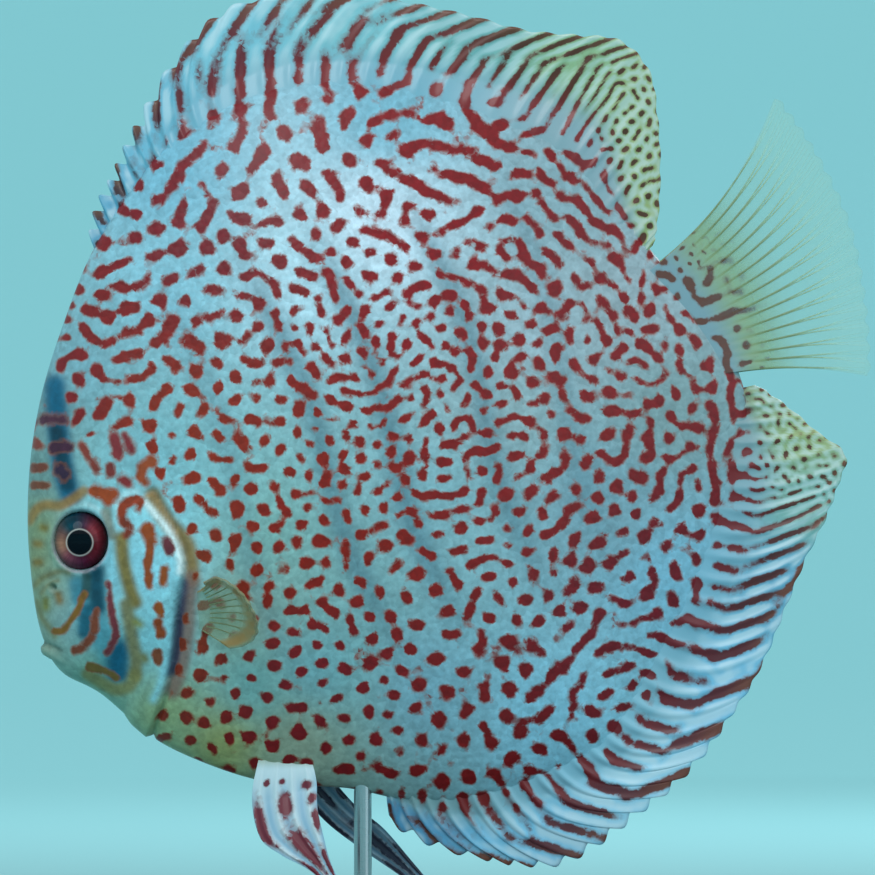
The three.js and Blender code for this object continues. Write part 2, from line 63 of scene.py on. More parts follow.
def through(rows, t, period=0):
    """The smooth curve through rows of (position, value, ...), round and round when period is given."""
    rows = np.array(rows, float)
    t = np.asarray(t, float)
    if period:
        t = rows[0, 0] + np.mod(t - rows[0, 0], period)
        turn = np.zeros(rows.shape[1])
        turn[0] = period
        rows = np.concatenate([rows[-1:] - turn, rows, rows[:2] + turn])
    else:
        rows = np.concatenate([rows[:1], rows, rows[-1:]])
    i = np.clip(np.searchsorted(rows[1:-1, 0], t, side="right") - 1, 0, len(rows) - 4)
    a, b, c, d = (rows[i + k] for k in range(4))
    span = (c - b)[..., :1]
    s = np.clip((t - b[..., 0])[..., None] / span, 0, 1)
    slope_b = (c - a)[..., 1:] / (c - a)[..., :1]
    slope_c = (d - b)[..., 1:] / (d - b)[..., :1]
    rise = s * s * (3 - 2 * s)
    start = (s**3 - 2 * s * s + s) * span * slope_b
    end = (s**3 - s * s) * span * slope_c
    return b[..., 1:] * (1 - rise) + c[..., 1:] * rise + start + end


def ease(x, low, high):
    t = np.clip((np.asarray(x, float) - low) / (high - low), 0, 1)
    return t * t * (3 - 2 * t)


def outline_radius(degrees):
    return through(OUTLINE, degrees, 360)[..., 0]


def turn_of(x, z):
    return np.mod(np.degrees(np.arctan2(z, x)), 360)


def half_thickness(x, z):
    """Half the body's thickness over points of the middle plane."""
    degrees = turn_of(x, z)
    rho = np.clip(np.hypot(x, z) / outline_radius(degrees), 0, 1)
    power, rounded = np.moveaxis(through(RIM, degrees, 360), -1, 0)
    c = np.sqrt(1 - rho * rho)
    full = HALF_WIDTH * (1 - 0.5 * ease(x, -12, 62)) * (1 - 0.1 * ease(z, 0, 60))
    return full * ((1 - rounded) * c**power + rounded * c)


def posed(points):
    """Points of the level fish in millimetres, pitched and set over the stand, in metres."""
    x, y, z = np.moveaxis(np.asarray(points, float), -1, 0)
    along = x * math.cos(PITCH) - z * math.sin(PITCH) + DISC_MIDDLE[0]
    up = x * math.sin(PITCH) + z * math.cos(PITCH) + DISC_MIDDLE[1]
    return np.stack([along, y, up], -1) / 1000


def normals_of(points, faces):
    corner = points[faces]
    face_normal = np.cross(corner[:, 1] - corner[:, 0], corner[:, 2] - corner[:, 0])
    normal = np.zeros_like(points)
    for k in range(3):
        np.add.at(normal, faces[:, k], face_normal)
    return normal / np.linalg.norm(normal, axis=1, keepdims=True)


def distance_to(points, path):
    """Distance in the middle plane from points (x, z) to a bent line."""
    nearest = np.full(points.shape[:-1], np.inf)
    path = np.array(path, float)
    for a, b in zip(path[:-1], path[1:]):
        along = b - a
        share = np.clip(((points - a) @ along) / (along @ along), 0, 1)
        nearest = np.minimum(nearest, np.linalg.norm(points - a - share[..., None] * along, axis=-1))
    return nearest


def inside(points, outline):
    """True for points (x, z) inside a closed outline."""
    within = np.zeros(points.shape[:-1], bool)
    outline = np.array(outline, float)
    for a, b in zip(outline, np.roll(outline, -1, axis=0)):
        crosses = (a[1] > points[..., 1]) != (b[1] > points[..., 1])
        if a[1] != b[1]:
            at = a[0] + (points[..., 1] - a[1]) * (b[0] - a[0]) / (b[1] - a[1])
            within ^= crosses & (points[..., 0] < at)
    return within


def eased_line(points, count):
    """Closely spaced points of a smooth curve through a few."""
    rows = [(k, *p) for k, p in enumerate(points)]
    return through(rows, np.linspace(0, len(points) - 1, count))


SKIN_RINGS = 116
RING_MIDDLE = np.array([-17.0, -3.5])
HEAD_CLOSER = 0.3
HEAD_TURN = math.radians(190)


def skin_rings():
    """Vertices and triangles of the disc, in rings over each flank that share the one at the rim."""
    points, starts, counts = [], [], []
    for side in (-1, 1):
        for k in range(SKIN_RINGS if side > 0 else SKIN_RINGS + 1):
            s = k / SKIN_RINGS
            rho = s * (1 + 0.25 * (1 - s * s))
            count = max(1, round(2 * math.pi * SKIN_RINGS * rho))
            turn = 2 * math.pi * np.arange(count) / count
            turn = turn - HEAD_CLOSER * np.sin(turn - HEAD_TURN)
            reach = outline_radius(np.degrees(turn))
            rim_point = np.stack([reach * np.cos(turn), reach * np.sin(turn)], -1)
            place = rho * rim_point + (1 - rho) * RING_MIDDLE
            thick = 0 * turn if k == SKIN_RINGS else half_thickness(place[:, 0], place[:, 1])
            starts.append(sum(counts))
            counts.append(count)
            points.append(np.stack([place[:, 0], side * thick, place[:, 1]], -1))
    triangles = []
    for flank, side in enumerate((-1, 1)):
        rings = [flank * (SKIN_RINGS + 1) + k for k in range(SKIN_RINGS)] + [SKIN_RINGS]
        for inner, outer in zip(rings[:-1], rings[1:]):
            n, m = counts[inner], counts[outer]
            j = np.arange(m)
            across = np.ceil((j + 0.5) * n / m - 0.5).astype(int) % n
            faces = starts[outer] + np.stack([j, (j + 1) % m, across], 1)
            faces[:, 2] += starts[inner] - starts[outer]
            if n > 1:
                i = np.arange(n)
                across = (np.floor((i + 0.5) * m / n - 0.5).astype(int) + 1) % m
                more = starts[inner] + np.stack([(i + 1) % n, i, across], 1)
                more[:, 2] += starts[outer] - starts[inner]
                faces = np.concatenate([faces, more])
            triangles.append(faces if side < 0 else faces[:, ::-1])
    return np.concatenate(points), np.concatenate(triangles)


EYE = np.array([-59.9, 2.6])
EYE_WIDE = 4.85
EYE_HIGH = 5.4
EYE_ACROSS = np.array([math.cos(PITCH), -math.sin(PITCH)])
EYE_UP = np.array([math.sin(PITCH), math.cos(PITCH)])
MOUTH_FRONT = np.array([-73.1, -12.0])
MOUTH_CORNER = np.array([-69.8, -15.1])
LIP_LONG = 4.4
LIP_HALF = 2.6
UPPER_LIP = 1.1
LOWER_LIP = 1.25
NOSTRIL = np.array([-67.6, -3.6])
# Edge of the head along the gill opening, and front edge of the gill cover
HEAD_EDGE = [
    (-46, 62), (-42.5, 46), (-40, 30), (-41.5, 15), (-44.9, 6.4), (-43.4, -1.6), (-43.8, -7.6),
    (-47, -12.6), (-49, -17.5), (-51.6, -23), (-55.5, -28.6), (-62, -36.5),
]
GILL_FRONT = [
    (-50.6, 5.2), (-54.4, -3.2), (-55.9, -10.3), (-57.6, -17.2), (-60.4, -24.5), (-66, -32.5),
]
gill_opening = eased_line(HEAD_EDGE[4:], 40)
gill_outline = np.concatenate([gill_opening, eased_line(GILL_FRONT, 24)[::-1]])


def from_eye(flat):
    """Distance outwards from the eye's edge, at points of the middle plane."""
    share = np.hypot((flat - EYE) @ EYE_ACROSS / EYE_WIDE, (flat - EYE) @ EYE_UP / EYE_HIGH)
    return (share - 1) * (EYE_WIDE + EYE_HIGH) / 2


def lip_depth(points):
    """How far points lie inside the two lips, which are rings laid flat in the snout."""
    back = (MOUTH_CORNER - MOUTH_FRONT) / np.linalg.norm(MOUTH_CORNER - MOUTH_FRONT)
    up = np.array([-back[1], back[0]])
    offset = points[..., [0, 2]] - MOUTH_FRONT
    along, across, height = offset @ back, points[..., 1], offset @ up
    deepest = np.full(along.shape, -np.inf)
    for tube, level in ((UPPER_LIP, UPPER_LIP - 0.1), (LOWER_LIP, 0.1 - LOWER_LIP)):
        a = (along - LIP_LONG - tube) / LIP_LONG
        b = across / LIP_HALF
        q = np.hypot(a, b) + 1e-9
        slope = np.hypot(a / LIP_LONG, b / LIP_HALF) / q
        deepest = np.maximum(deepest, tube - np.hypot((q - 1) / slope, height - level))
    return deepest, along, height


LIP_SHARE = 0.7
MOUTH_SLIT = 0.3
SOCKET_DEEP = 3.0
EYE_FOLD = 0.45
NOSTRIL_RIM = 0.25
NOSTRIL_DEEP = 1.1
GILL_PLATE = 0.7
GILL_SLIT = 0.55
GILL_FRONT_GROOVE = 0.22
CHEEK = np.array([-62.0, -12.0])
CHEEK_HALVES = np.array([6.0, 7.0])
CHEEK_HIGH = 0.45


def raised(points, normals):
    """Skin relief: how far each point moves out along its normal."""
    flat = points[:, [0, 2]]
    lift = np.zeros(len(points))
    # Lips, raised to two rings, and the slit between them
    near = np.linalg.norm(flat - MOUTH_FRONT, axis=1) < 9
    reach = np.zeros(near.sum())
    for step in np.arange(0, 3.2, 0.05):
        depth = lip_depth(points[near] + step * normals[near])[0]
        reach = np.where(depth > 0, step, reach)
    lift[near] += LIP_SHARE * reach
    _, along, height = lip_depth(points + lift[:, None] * normals)
    mouth_long = np.linalg.norm(MOUTH_CORNER - MOUTH_FRONT)
    slit = np.exp(-((height / 0.32) ** 2)) * (1 - ease(along, mouth_long - 1, mouth_long + 0.4))
    lift[near] -= MOUTH_SLIT * slit[near]
    # Eye socket and the fold of skin round it
    eye = from_eye(flat)
    lift -= SOCKET_DEEP * (1 - ease(eye, -0.9, 0.2))
    lift += EYE_FOLD * np.exp(-(((eye - 0.6) / 0.6) ** 2))
    # Nostril, a pit with a low rim
    nostril = np.linalg.norm(flat - NOSTRIL, axis=1)
    lift += NOSTRIL_RIM * np.exp(-(((nostril - 0.95) / 0.35) ** 2))
    lift -= NOSTRIL_DEEP * np.exp(-((nostril / 0.5) ** 2))
    # Gill cover: proud of the flank behind, soft at its front edge, with the gill slit behind it
    rear = distance_to(flat, gill_opening)
    front = distance_to(flat, eased_line(GILL_FRONT, 24))
    within = inside(flat, gill_outline)
    plate = np.where(within, ease(rear, -0.15, 0.45) * (0.35 + 0.65 * ease(front, 0.2, 2.6)), 0)
    lift += GILL_PLATE * plate
    behind = ~within & (flat[:, 0] > -62)
    lift -= np.where(behind, GILL_SLIT * np.exp(-(((rear - 0.35) / 0.5) ** 2)), 0)
    lift -= np.where(within, GILL_FRONT_GROOVE * np.exp(-((front / 0.5) ** 2)), 0)
    # Cheek muscle
    cheek = np.linalg.norm((flat - CHEEK) / CHEEK_HALVES, axis=1)
    lift += CHEEK_HIGH * (1 - ease(cheek, 0, 1.2))
    return lift


# Markings
# Leopard marks sprayed over fish and fins: crimson spots with a thin orange edge that join into worms along
# the back and tail and turn into stripes along the rays. They grow here as on the living skin, by each mark
# feeding itself close by and starving its surroundings, over a map of the middle plane.
MAP_CELL = 0.3
MAP_CELLS = 640
MAP_CORNER = np.array([-86.0, -96.0])
map_line = MAP_CELL * np.arange(MAP_CELLS)
map_x, map_z = np.meshgrid(MAP_CORNER[0] + map_line, MAP_CORNER[1] + map_line)
map_turn = turn_of(map_x, map_z)
map_rho = np.hypot(map_x, map_z) / outline_radius(map_turn)
wave_x, wave_z = np.meshgrid(np.fft.rfftfreq(MAP_CELLS, MAP_CELL), np.fft.fftfreq(MAP_CELLS, MAP_CELL))
wave_x, wave_z = 2 * np.pi * wave_x, 2 * np.pi * wave_z
wave_2 = wave_x**2 + wave_z**2

# Rays of the two long fins: degrees at the root and at the tip, and radius at the tip
DORSAL_ROWS = [
    (130, 127.5, 66.8), (124.5, 122.5, 69.4), (119.5, 117.8, 70.7), (114.5, 112.9, 73),
    (110.5, 107.1, 76.1), (106, 98.6, 81.2), (100, 91.5, 84), (92.5, 83.5, 82.6), (85, 76, 81),
    (77.5, 69, 79), (70, 61, 77.6), (61.9, 53, 77.3), (53.5, 46.5, 79.6), (45.8, 41.2, 82.2),
    (38.2, 36, 80.3), (32.5, 31.2, 74.2), (26, 25.5, 67), (19.2, 20, 60.6), (17.2, 17.6, 57.8),
]
ANAL_ROWS = [
    (247.6, 248.3, 69.2), (250, 254.5, 73.6), (253.6, 261.2, 77.2), (258, 265.7, 79.8),
    (262, 270.8, 82), (266.5, 276.4, 81.4), (271, 282.2, 80.2), (276, 288, 79.8), (281.5, 294, 79),
    (287, 299.6, 77.8), (293, 305.2, 77.2), (299.5, 311, 76.4), (306, 317, 75.8), (313, 323.5, 76.2),
    (320, 329.4, 78), (327, 334, 79.4), (333.5, 338.1, 80.4), (340, 341.2, 75.2), (345, 345.4, 69.6),
    (348.6, 348.8, 65),
]

# Which way the marks run: x, z, direction in degrees in the level fish, and how strongly
FLOW = [
    (-20.2, 62.9, 40, 0.45), (-7.6, 68.3, 60, 0.5), (-32.7, 53.7, 30, 0.4), (20.3, 55.8, -15, 0.6),
    (29.7, 44.7, -30, 0.6), (41.3, 36.6, -30, 0.6), (50.3, 27.6, -65, 0.6), (53, 19.1, -70, 0.6),
    (3.4, 62, 40, 0.35), (5.4, 51.5, 0, 0.3), (8.6, 44.7, -40, 0.4), (-5.2, 38.2, -90, 0.2),
    (20.9, 36.4, -40, 0.3), (-44, 37.1, -10, 0.3), (-48.3, 25.2, 60, 0.15), (57.5, 0.1, 10, 0.2),
    (37.5, -2.2, 10, 0.15), (35.7, 13.9, -40, 0.15), (53.5, -21.4, 60, 0.5), (43.5, -33.1, 50, 0.3),
    (38.1, -21.5, 10, 0.15), (32.8, -46.4, 10, 0.4), (16.7, -54, 10, 0.5), (8.6, -60.6, -70, 0.35),
    (10.9, -38.5, -10, 0.12), (13.5, -4.9, 0, 0.1), (-10.9, -32.1, -50, 0.1), (-23.3, -37.6, -20, 0.05),
    (-51.1, 43.4, -20, 0.3),
]
# How bare the ground is, and the distance from mark to mark: x, z, push towards bare ground, millimetres
SPARSE = [
    (2.5, 6.8, 0.4, 3), (-26.8, -20.9, 0.6, 3.6), (-22.1, 44.4, 0.5, 4), (22.5, 51.2, 0.48, 4.8),
    (43.1, 34.1, 0.32, 3.4), (52.9, 19.1, 0.25, 3), (53.2, -11.7, 0.32, 3.1), (30.7, -41.8, 0.46, 3.9),
    (11.1, -53.6, 0.55, 4.2), (-23.2, -37.6, 0.95, 3.9), (-43, -34.1, 1, 3.8), (-4.6, -44.3, 0.75, 3.9),
    (-29.4, -12.3, 0.65, 3.6), (-44, 37.1, 0.45, 3.4), (-32, 30, 0.47, 3.2), (-19, 0, 0.47, 3.1),
    (13, -6.6, 0.32, 3), (15.6, 26.9, 0.42, 3.3), (2.8, 60.3, 0.65, 5), (-19.4, 62.5, 0.5, 4.8),
    (35.1, -8.7, 0.32, 3.1),
]
# Long worms that every fish of this breed has along its back and above the anal fin
WORMS = [
    [(13.9, 53.2), (18.5, 55.9), (22.8, 53.9), (25.7, 50.6), (24.5, 48.5)],
    [(14.8, 47.1), (19.2, 48.3), (25.4, 47.1), (30.3, 42.8), (33.4, 39.2), (35.7, 42.6)],
    [(18.4, 42.9), (25, 40.9), (30.7, 35.6), (38.4, 33), (45.1, 29)],
    [(36.3, 38.3), (41.9, 33.3)],
    [(8.6, 44.6), (14.6, 46.7), (17.6, 42.2), (22.7, 38.2)],
    [(25.2, 33.1), (32.9, 29.6), (38.9, 24.2), (42.9, 18.4)],
    [(51, 32.4), (52.1, 24.9), (55.9, 15)],
    [(11.8, -57.3), (14.9, -52.6), (22.6, -47.7), (29.5, -51.6)],
    [(5.4, -51.9), (9.1, -50), (17.1, -46.6), (23.4, -41)],
]


def spread_over(rows, x, z, softness):
    """Values of a few places spread smoothly over the map."""
    total = np.zeros(x.shape + (rows.shape[1] - 2,))
    weight = np.zeros(x.shape)
    for row in rows:
        near = 1 / ((x - row[0]) ** 2 + (z - row[1]) ** 2 + softness) ** 1.5
        total += near[..., None] * row[2:]
        weight += near
    return total / weight[..., None]


def ray_directions(rows):
    """Points on an unpaired fin and the direction of its rays there."""
    points = []
    directions = []
    for root_turn, tip_turn, tip_radius in rows:
        root, tip = math.radians(root_turn), math.radians(tip_turn)
        start = float(outline_radius(root_turn)) * np.array([math.cos(root), math.sin(root)])
        end = tip_radius * np.array([math.cos(tip), math.sin(tip)])
        middle = start + 0.5 * np.linalg.norm(end - start) * np.array([math.cos(root), math.sin(root)])
        for v in (0, 0.35, 0.7, 1):
            points.append((1 - v) ** 2 * start + 2 * v * (1 - v) * middle + v * v * end)
            directions.append(2 * (1 - v) * (middle - start) + 2 * v * (end - middle))
    return np.array(points), np.array(directions)


# How strongly stripes follow the fins' rays, how ragged the marks are, the sizes of mark that can grow in
# millimetres from one to the next, how many directions they can take, and how many steps they grow for
STRIPED = 0.96
RAGGED = 0.65
MARK_SIZES = (1.52, 1.9, 2.4, 3.0, 3.75, 4.7)
MARK_HEADINGS = 5
GROWTH_STEPS = 15


def blurred(values, length):
    """Values of the map averaged over their surroundings."""
    return np.fft.irfft2(np.fft.rfft2(values) * np.exp(-wave_2 * length**2 / 2), s=values.shape)


def smooth_noise(rng, length):
    """Random ripples of about the given length over the map, one unit high."""
    ripple = blurred(rng.normal(size=map_x.shape), length)
    return ripple / ripple.std()


def grow_marks(seed):
    """The map of the marks, about one unit high: above 0 is a mark, below it bare ground."""
    rng = np.random.default_rng(seed)
    flow = np.array(FLOW)
    double = 2 * np.radians(flow[:, 2])
    rows = np.stack([flow[:, 0], flow[:, 1], flow[:, 3] * np.cos(double), flow[:, 3] * np.sin(double)], 1)
    run = spread_over(rows, map_x, map_z, 16)
    wander = 1.1 * smooth_noise(rng, 3.2)
    ahead, aside = run[..., 0], run[..., 1]
    turned_x = ahead * np.cos(wander) - aside * np.sin(wander)
    turned_z = ahead * np.sin(wander) + aside * np.cos(wander)
    run = np.stack([turned_x, turned_z], -1)
    for rows, low, high in ((DORSAL_ROWS, 14, 134), (ANAL_ROWS, 244, 354)):
        on_fin = (map_rho > 0.9) & (map_turn > low) & (map_turn < high)
        points, directions = ray_directions(rows)
        x, z = map_x[on_fin][:, None], map_z[on_fin][:, None]
        near = 1 / ((x - points[:, 0]) ** 2 + (z - points[:, 1]) ** 2 + 1) ** 2
        near /= near.sum(1, keepdims=True)
        turn = 2 * np.arctan2(directions[:, 1], directions[:, 0])
        share = ease(map_rho[on_fin], 0.965, 1.03)[:, None]
        along_rays = np.stack([near @ np.cos(turn), near @ np.sin(turn)], 1)
        run[on_fin] = run[on_fin] * (1 - share) + STRIPED * share * along_rays
    # The rear corners of both fins are dotted instead
    off_body = ease(map_rho, 0.97, 1.05)
    corner = off_body * (1 - ease(map_turn, 34, 46)) * (map_turn > 10)
    corner += off_body * ease(map_turn, 326, 336)
    run *= ((1 - 0.95 * np.clip(corner, 0, 1)) * (0.7 + 0.3 * off_body))[..., None]
    straightness = np.hypot(run[..., 0], run[..., 1])
    heading = 0.5 * np.arctan2(run[..., 1], run[..., 0])

    # Distance from mark to mark: wider on the front of the fins, finer in their rear corners
    on_dorsal = (map_turn > 10) & (map_turn < 134)
    on_anal = (map_turn > 244) & (map_turn < 354)
    habit = spread_over(np.array(SPARSE), map_x, map_z, 30)
    spacing = habit[..., 1] * (1 - off_body) + 3.25 * off_body + 0.3 * smooth_noise(rng, 6)
    spacing += off_body * on_dorsal * (1.3 * ease(map_turn, 52, 84) - 1.6 * (1 - ease(map_turn, 34, 56)))
    spacing += off_body * on_anal * (1.3 - 2.9 * ease(map_turn, 316, 334))

    sparse = -habit[..., 0] * (1 - off_body) - 0.3 * off_body - 0.4 * np.clip(corner, 0, 1)
    filters = []
    for k, size in enumerate(MARK_SIZES):
        steps = np.log(spacing / size) / math.log(1.25)
        share = np.clip(1 - np.abs(steps), 0, 1)
        if k == 0:
            share = np.where(steps < 0, 1, share)
        if k == len(MARK_SIZES) - 1:
            share = np.where(steps > 0, 1, share)
        feed = 0.175 * size
        ring = np.exp(-wave_2 * feed**2 / 2) - np.exp(-wave_2 * (1.6 * feed) ** 2 / 2)
        ring /= ring.max()
        filters.append((ring, share * (1 - straightness)))
        for j in range(MARK_HEADINGS):
            angle = math.pi * j / MARK_HEADINGS
            along = wave_x * math.cos(angle) + wave_z * math.sin(angle)
            band = ring * np.exp(-((along * size * 0.85) ** 2) / 2)
            off = np.abs(np.angle(np.exp(2j * (heading - angle)))) / 2
            near = np.clip(1 - off / (math.pi / MARK_HEADINGS), 0, 1)
            filters.append((band / band.max(), share * straightness * near))

    level = 0.3 * smooth_noise(rng, 0.6)
    flat = np.stack([map_x, map_z], -1)
    for path in WORMS:
        level = np.maximum(level, 1.2 - distance_to(flat, eased_line(path, 20)) / 0.7)
    for step in range(GROWTH_STEPS):
        waves = np.fft.rfft2(level)
        feeding = np.zeros_like(level)
        for band, share in filters:
            feeding += share * np.fft.irfft2(waves * band, s=level.shape)
        strength = np.sqrt(np.maximum(blurred(feeding**2, 3.0), 0))
        feeding = feeding / (strength + 0.02)
        level = np.tanh(1.3 * (feeding + 0.85 * sparse))
    uneven = RAGGED * (1 - 0.7 * off_body)
    ripple = 0.7 * smooth_noise(rng, 0.5) + 0.5 * smooth_noise(rng, 1.1)
    return feeding + 0.85 * sparse + 0.02 + uneven * ripple


LEFT_SEED = 4
RIGHT_SEED = 9
FACE_SEED = 12
flank_marks = {-1: grow_marks(LEFT_SEED), 1: grow_marks(RIGHT_SEED)}


def on_map(values, x, z):
    """Values of the map at any points."""
    i = (np.asarray(x) - MAP_CORNER[0]) / MAP_CELL
    j = (np.asarray(z) - MAP_CORNER[1]) / MAP_CELL
    i0 = np.clip(np.floor(i).astype(int), 0, MAP_CELLS - 2)
    j0 = np.clip(np.floor(j).astype(int), 0, MAP_CELLS - 2)
    s, t = np.clip(i - i0, 0, 1), np.clip(j - j0, 0, 1)
    low = values[j0, i0] * (1 - s) + values[j0, i0 + 1] * s
    high = values[j0 + 1, i0] * (1 - s) + values[j0 + 1, i0 + 1] * s
    return low * (1 - t) + high * t


def both_flanks(points):
    """The marks at points of the fish, each flank with its own, meeting along the back and belly."""
    left = on_map(flank_marks[-1], points[..., 0], points[..., 2])
    right = on_map(flank_marks[1], points[..., 0], points[..., 2])
    share = ease(points[..., 1], -0.8, 0.8)
    return left * (1 - share) + right * share


def linear(hex_colour):
    """An sRGB hex colour as linear values."""
    value = hex_colour.lstrip("#")
    part = np.array([int(value[k : k + 2], 16) for k in (0, 2, 4)]) / 255
    return np.where(part <= 0.04045, part / 12.92, ((part + 0.055) / 1.055) ** 2.4)


# Base coat under the marks, zone by zone: x, z, and the tint there, tuned under this studio's lamps
GROUND = [
    # Back and shoulder; the palest tint, on the upper middle of the flank, is the pale skin lightened
    # further by painted sheen
    (10.7, 38.5, "#DCEAF8"), (-8, 34, "#C2E0EE"), (-30, 40, "#93C8DA"), (-22, 60, "#7DB9D0"),
    (18, 56, "#7FB6CA"),
    # Rear of the flank and root of the tail
    (45, 34, "#94AEB8"), (30, 12, "#AABCC6"), (46, 9, "#A0AEB6"), (48, -12, "#8CA4A8"),
    (30, -24, "#88AAB8"), (38, -40, "#8CC0D8"), (18, -2, "#A0B6BC"), (4, -12, "#94BCC6"),
    # Belly, front of the flank, nape
    (8, -57, "#9AD2EA"), (-10, -44, "#8CB8CA"), (-28, -34, "#86BAC4"), (-40, -19, "#A2AE96"),
    (-30, -8, "#90BCB8"), (-45, 12, "#86BCC8"), (-50, 32, "#84B4C2"),
    # Breast, throat and chin
    (-36, -44, "#A6AE98"), (-41, -33, "#88BEC0"), (-48, -40, "#B0AE66"), (-56, -31, "#9DAE78"),
    (-66, -22, "#86B49C"),
    # Snout and forehead
    (-73.2, -13, "#85967A"), (-72, -6, "#8A9A68"), (-70, 2, "#8E9464"), (-67, 8, "#8C9A6C"),
    (-64, 16, "#6F9090"), (-60, 30, "#6E8E92"),
    # Cheek and gill cover
    (-66, -12, "#7FB2BC"), (-69, -9, "#94AEB4"), (-49, -8, "#A0E6FA"), (-48.5, 1.5, "#A6E6F4"),
    (-53, -18, "#98DEF0"), (-53, 7.5, "#98D0DA"), (-55.5, -3, "#8ED0E4"),
]
# Colour of the marks
INK = [
    (10, 30, "#8E0614"), (-20, 50, "#7E0A1C"), (45, 20, "#860C16"), (20, -10, "#8E0E10"),
    (-20, -10, "#981A0C"), (-40, 10, "#9A260C"), (-60, 30, "#861420"), (-50, -10, "#8C300E"),
    (-30, -36, "#88141E"), (30, -44, "#780C1C"), (-68, 10, "#7E300E"),
]


def colour_map(rows, points, softness=20):
    table = np.array([(x, z, *linear(colour)) for x, z, colour in rows])
    return spread_over(table, points[..., 0], points[..., 2], softness)


def tinted(ground, colour, share):
    """Ground with a share of another colour sprayed over it."""
    return ground + (linear(colour) - ground) * np.asarray(share)[..., None]


# Airbrushed bands and bars, some of them painted highlight and shade on the gill cover: colour, half width,
# strength, and the line each follows
BANDS = [
    # Blue bar over the eye
    ("#066080", 2.2, 1, [(-55, 30.4), (-56.6, 24.4), (-58.1, 18.3), (-58.8, 13.7), (-59, 11.1)]),
    ("#043446", 1.4, 0.9, [(-57.4, 22.5), (-58.3, 17), (-58.8, 13)]),
    # Blue and dark shades on the cheek
    ("#3F94AA", 3.3, 0.75, [(-61, -6.5), (-62.6, -11.5), (-61.4, -16.5), (-61.2, -20.4)]),
    ("#2A7A92", 1.5, 0.75, [(-63.4, -4.4), (-63.8, -6.7)]),
    ("#034458", 1.6, 0.97, [(-59.1, -3.5), (-60.2, -6.3), (-61, -9.5)]),
    ("#085870", 1.3, 0.9, [(-63.1, -9.5), (-65, -13)]),
    ("#045C7C", 2, 0.97, [(-60.2, -18.3), (-61.4, -20.4), (-62, -22)]),
    ("#243F3C", 0.9, 0.85, [(-61, -3.4), (-62.5, -6.9)]),
    # Ochre edges of cheek and gill cover
    ("#8C7024", 1.45, 0.95, [(-52.9, 0.4), (-53.8, -2.6), (-54.3, -5.9), (-54.5, -9.1), (-54.4, -11)]),
    ("#84784A", 1.4, 0.92, [(-56.1, -11), (-56.6, -13.6), (-57.2, -16.9), (-57.8, -20.6), (-59, -23.4)]),
    ("#908650", 1.3, 0.88, [(-59, -23.4), (-60.9, -24.9), (-63.3, -24.7), (-65.1, -23), (-67.1, -20.4)]),
    # Painted shade: ochre and brown bands in the crease behind the gill opening, and a dark band in the
    # gill slit
    ("#98763C", 1.6, 0.95, [(-45, 5.8), (-44.6, 2.6), (-43.8, -0.3), (-42.3, -3.9), (-42.5, -7.4),
     (-43.6, -10.6)]),
    ("#8E6C62", 1.7, 0.9, [(-43.6, -10.6), (-45.7, -14.4), (-47.7, -19), (-50.3, -23.7), (-53.6, -28.2)]),
    ("#383050", 1.3, 0.95, [(-45.6, -11), (-48.1, -16), (-50.4, -20.5), (-52.8, -24.6)]),
    # Ochre line over the eye
    ("#A07434", 1, 0.85, [(-67.6, 9.2), (-65.7, 10.6), (-63.8, 10.8), (-61.4, 9.8), (-58.8, 10.1),
     (-56.4, 10.8)]),
    # Ochre lines of the snout
    ("#7A6A38", 0.7, 0.7, [(-70.7, -2.1), (-68.6, -1.3), (-65.4, -1.3), (-63.9, -2.1)]),
    ("#7A6A38", 0.5, 0.6, [(-70, -3.8), (-68.3, -2.9), (-66.3, -2.7)]),
    ("#7F7440", 0.7, 0.7, [(-71.4, -5.1), (-71.5, -7.8), (-70.9, -9.8), (-70.3, -11.8)]),
    # Pale strokes along the raised rim of the gill cover: painted highlight where its edge catches the
    # light
    ("#F2FDFF", 0.6, 1, [(-46.5, 5), (-45.6, 2.6), (-44.3, -1.4), (-44.2, -6.5), (-45, -8.8)]),
    ("#9CDCEA", 0.8, 0.85, [(-45.8, -9.8), (-49.4, -15.7), (-51.6, -20.2), (-54.8, -25.8),
     (-57.2, -28.4)]),
    ("#C4ECF4", 0.55, 0.85, [(-51.9, 5), (-51.3, 6.6), (-50.4, 7.5), (-48.9, 7.8), (-47.4, 7.4)]),
    # Ochre dabs
    ("#7A6238", 1, 0.7, [(-53.8, 6), (-54.2, 3.7), (-54.3, 1.6)]),
    ("#8E8420", 0.85, 0.85, [(-55.4, -14.4), (-55, -15)]),
    ("#86782C", 0.85, 0.85, [(-56.2, -20.7), (-56.2, -21.2)]),
    ("#946A2A", 0.85, 0.85, [(-67.2, -5.1), (-67.3, -6.2)]),
    ("#7E7828", 0.85, 0.85, [(-69.7, -5.3), (-70.1, -6.5)]),
    ("#8A742A", 0.85, 0.85, [(-65.7, 7.2), (-65.3, 6.9)]),
    ("#8A6A28", 0.85, 0.85, [(-67.9, 4.9), (-67.3, 4.6)]),
    ("#8A6A28", 0.85, 0.85, [(-69.1, 1.7), (-68.4, 1.5)]),
]
# Slate bars down the flank: middle, lean, strength
FLANK_BARS = [(-31, 0.05, 0.4), (-14, 0.0, 0.75), (-1.5, 0.02, 0.8), (16, 0.05, 0.7), (31, 0.1, 0.45)]
BAR_SLATE = "#628998"
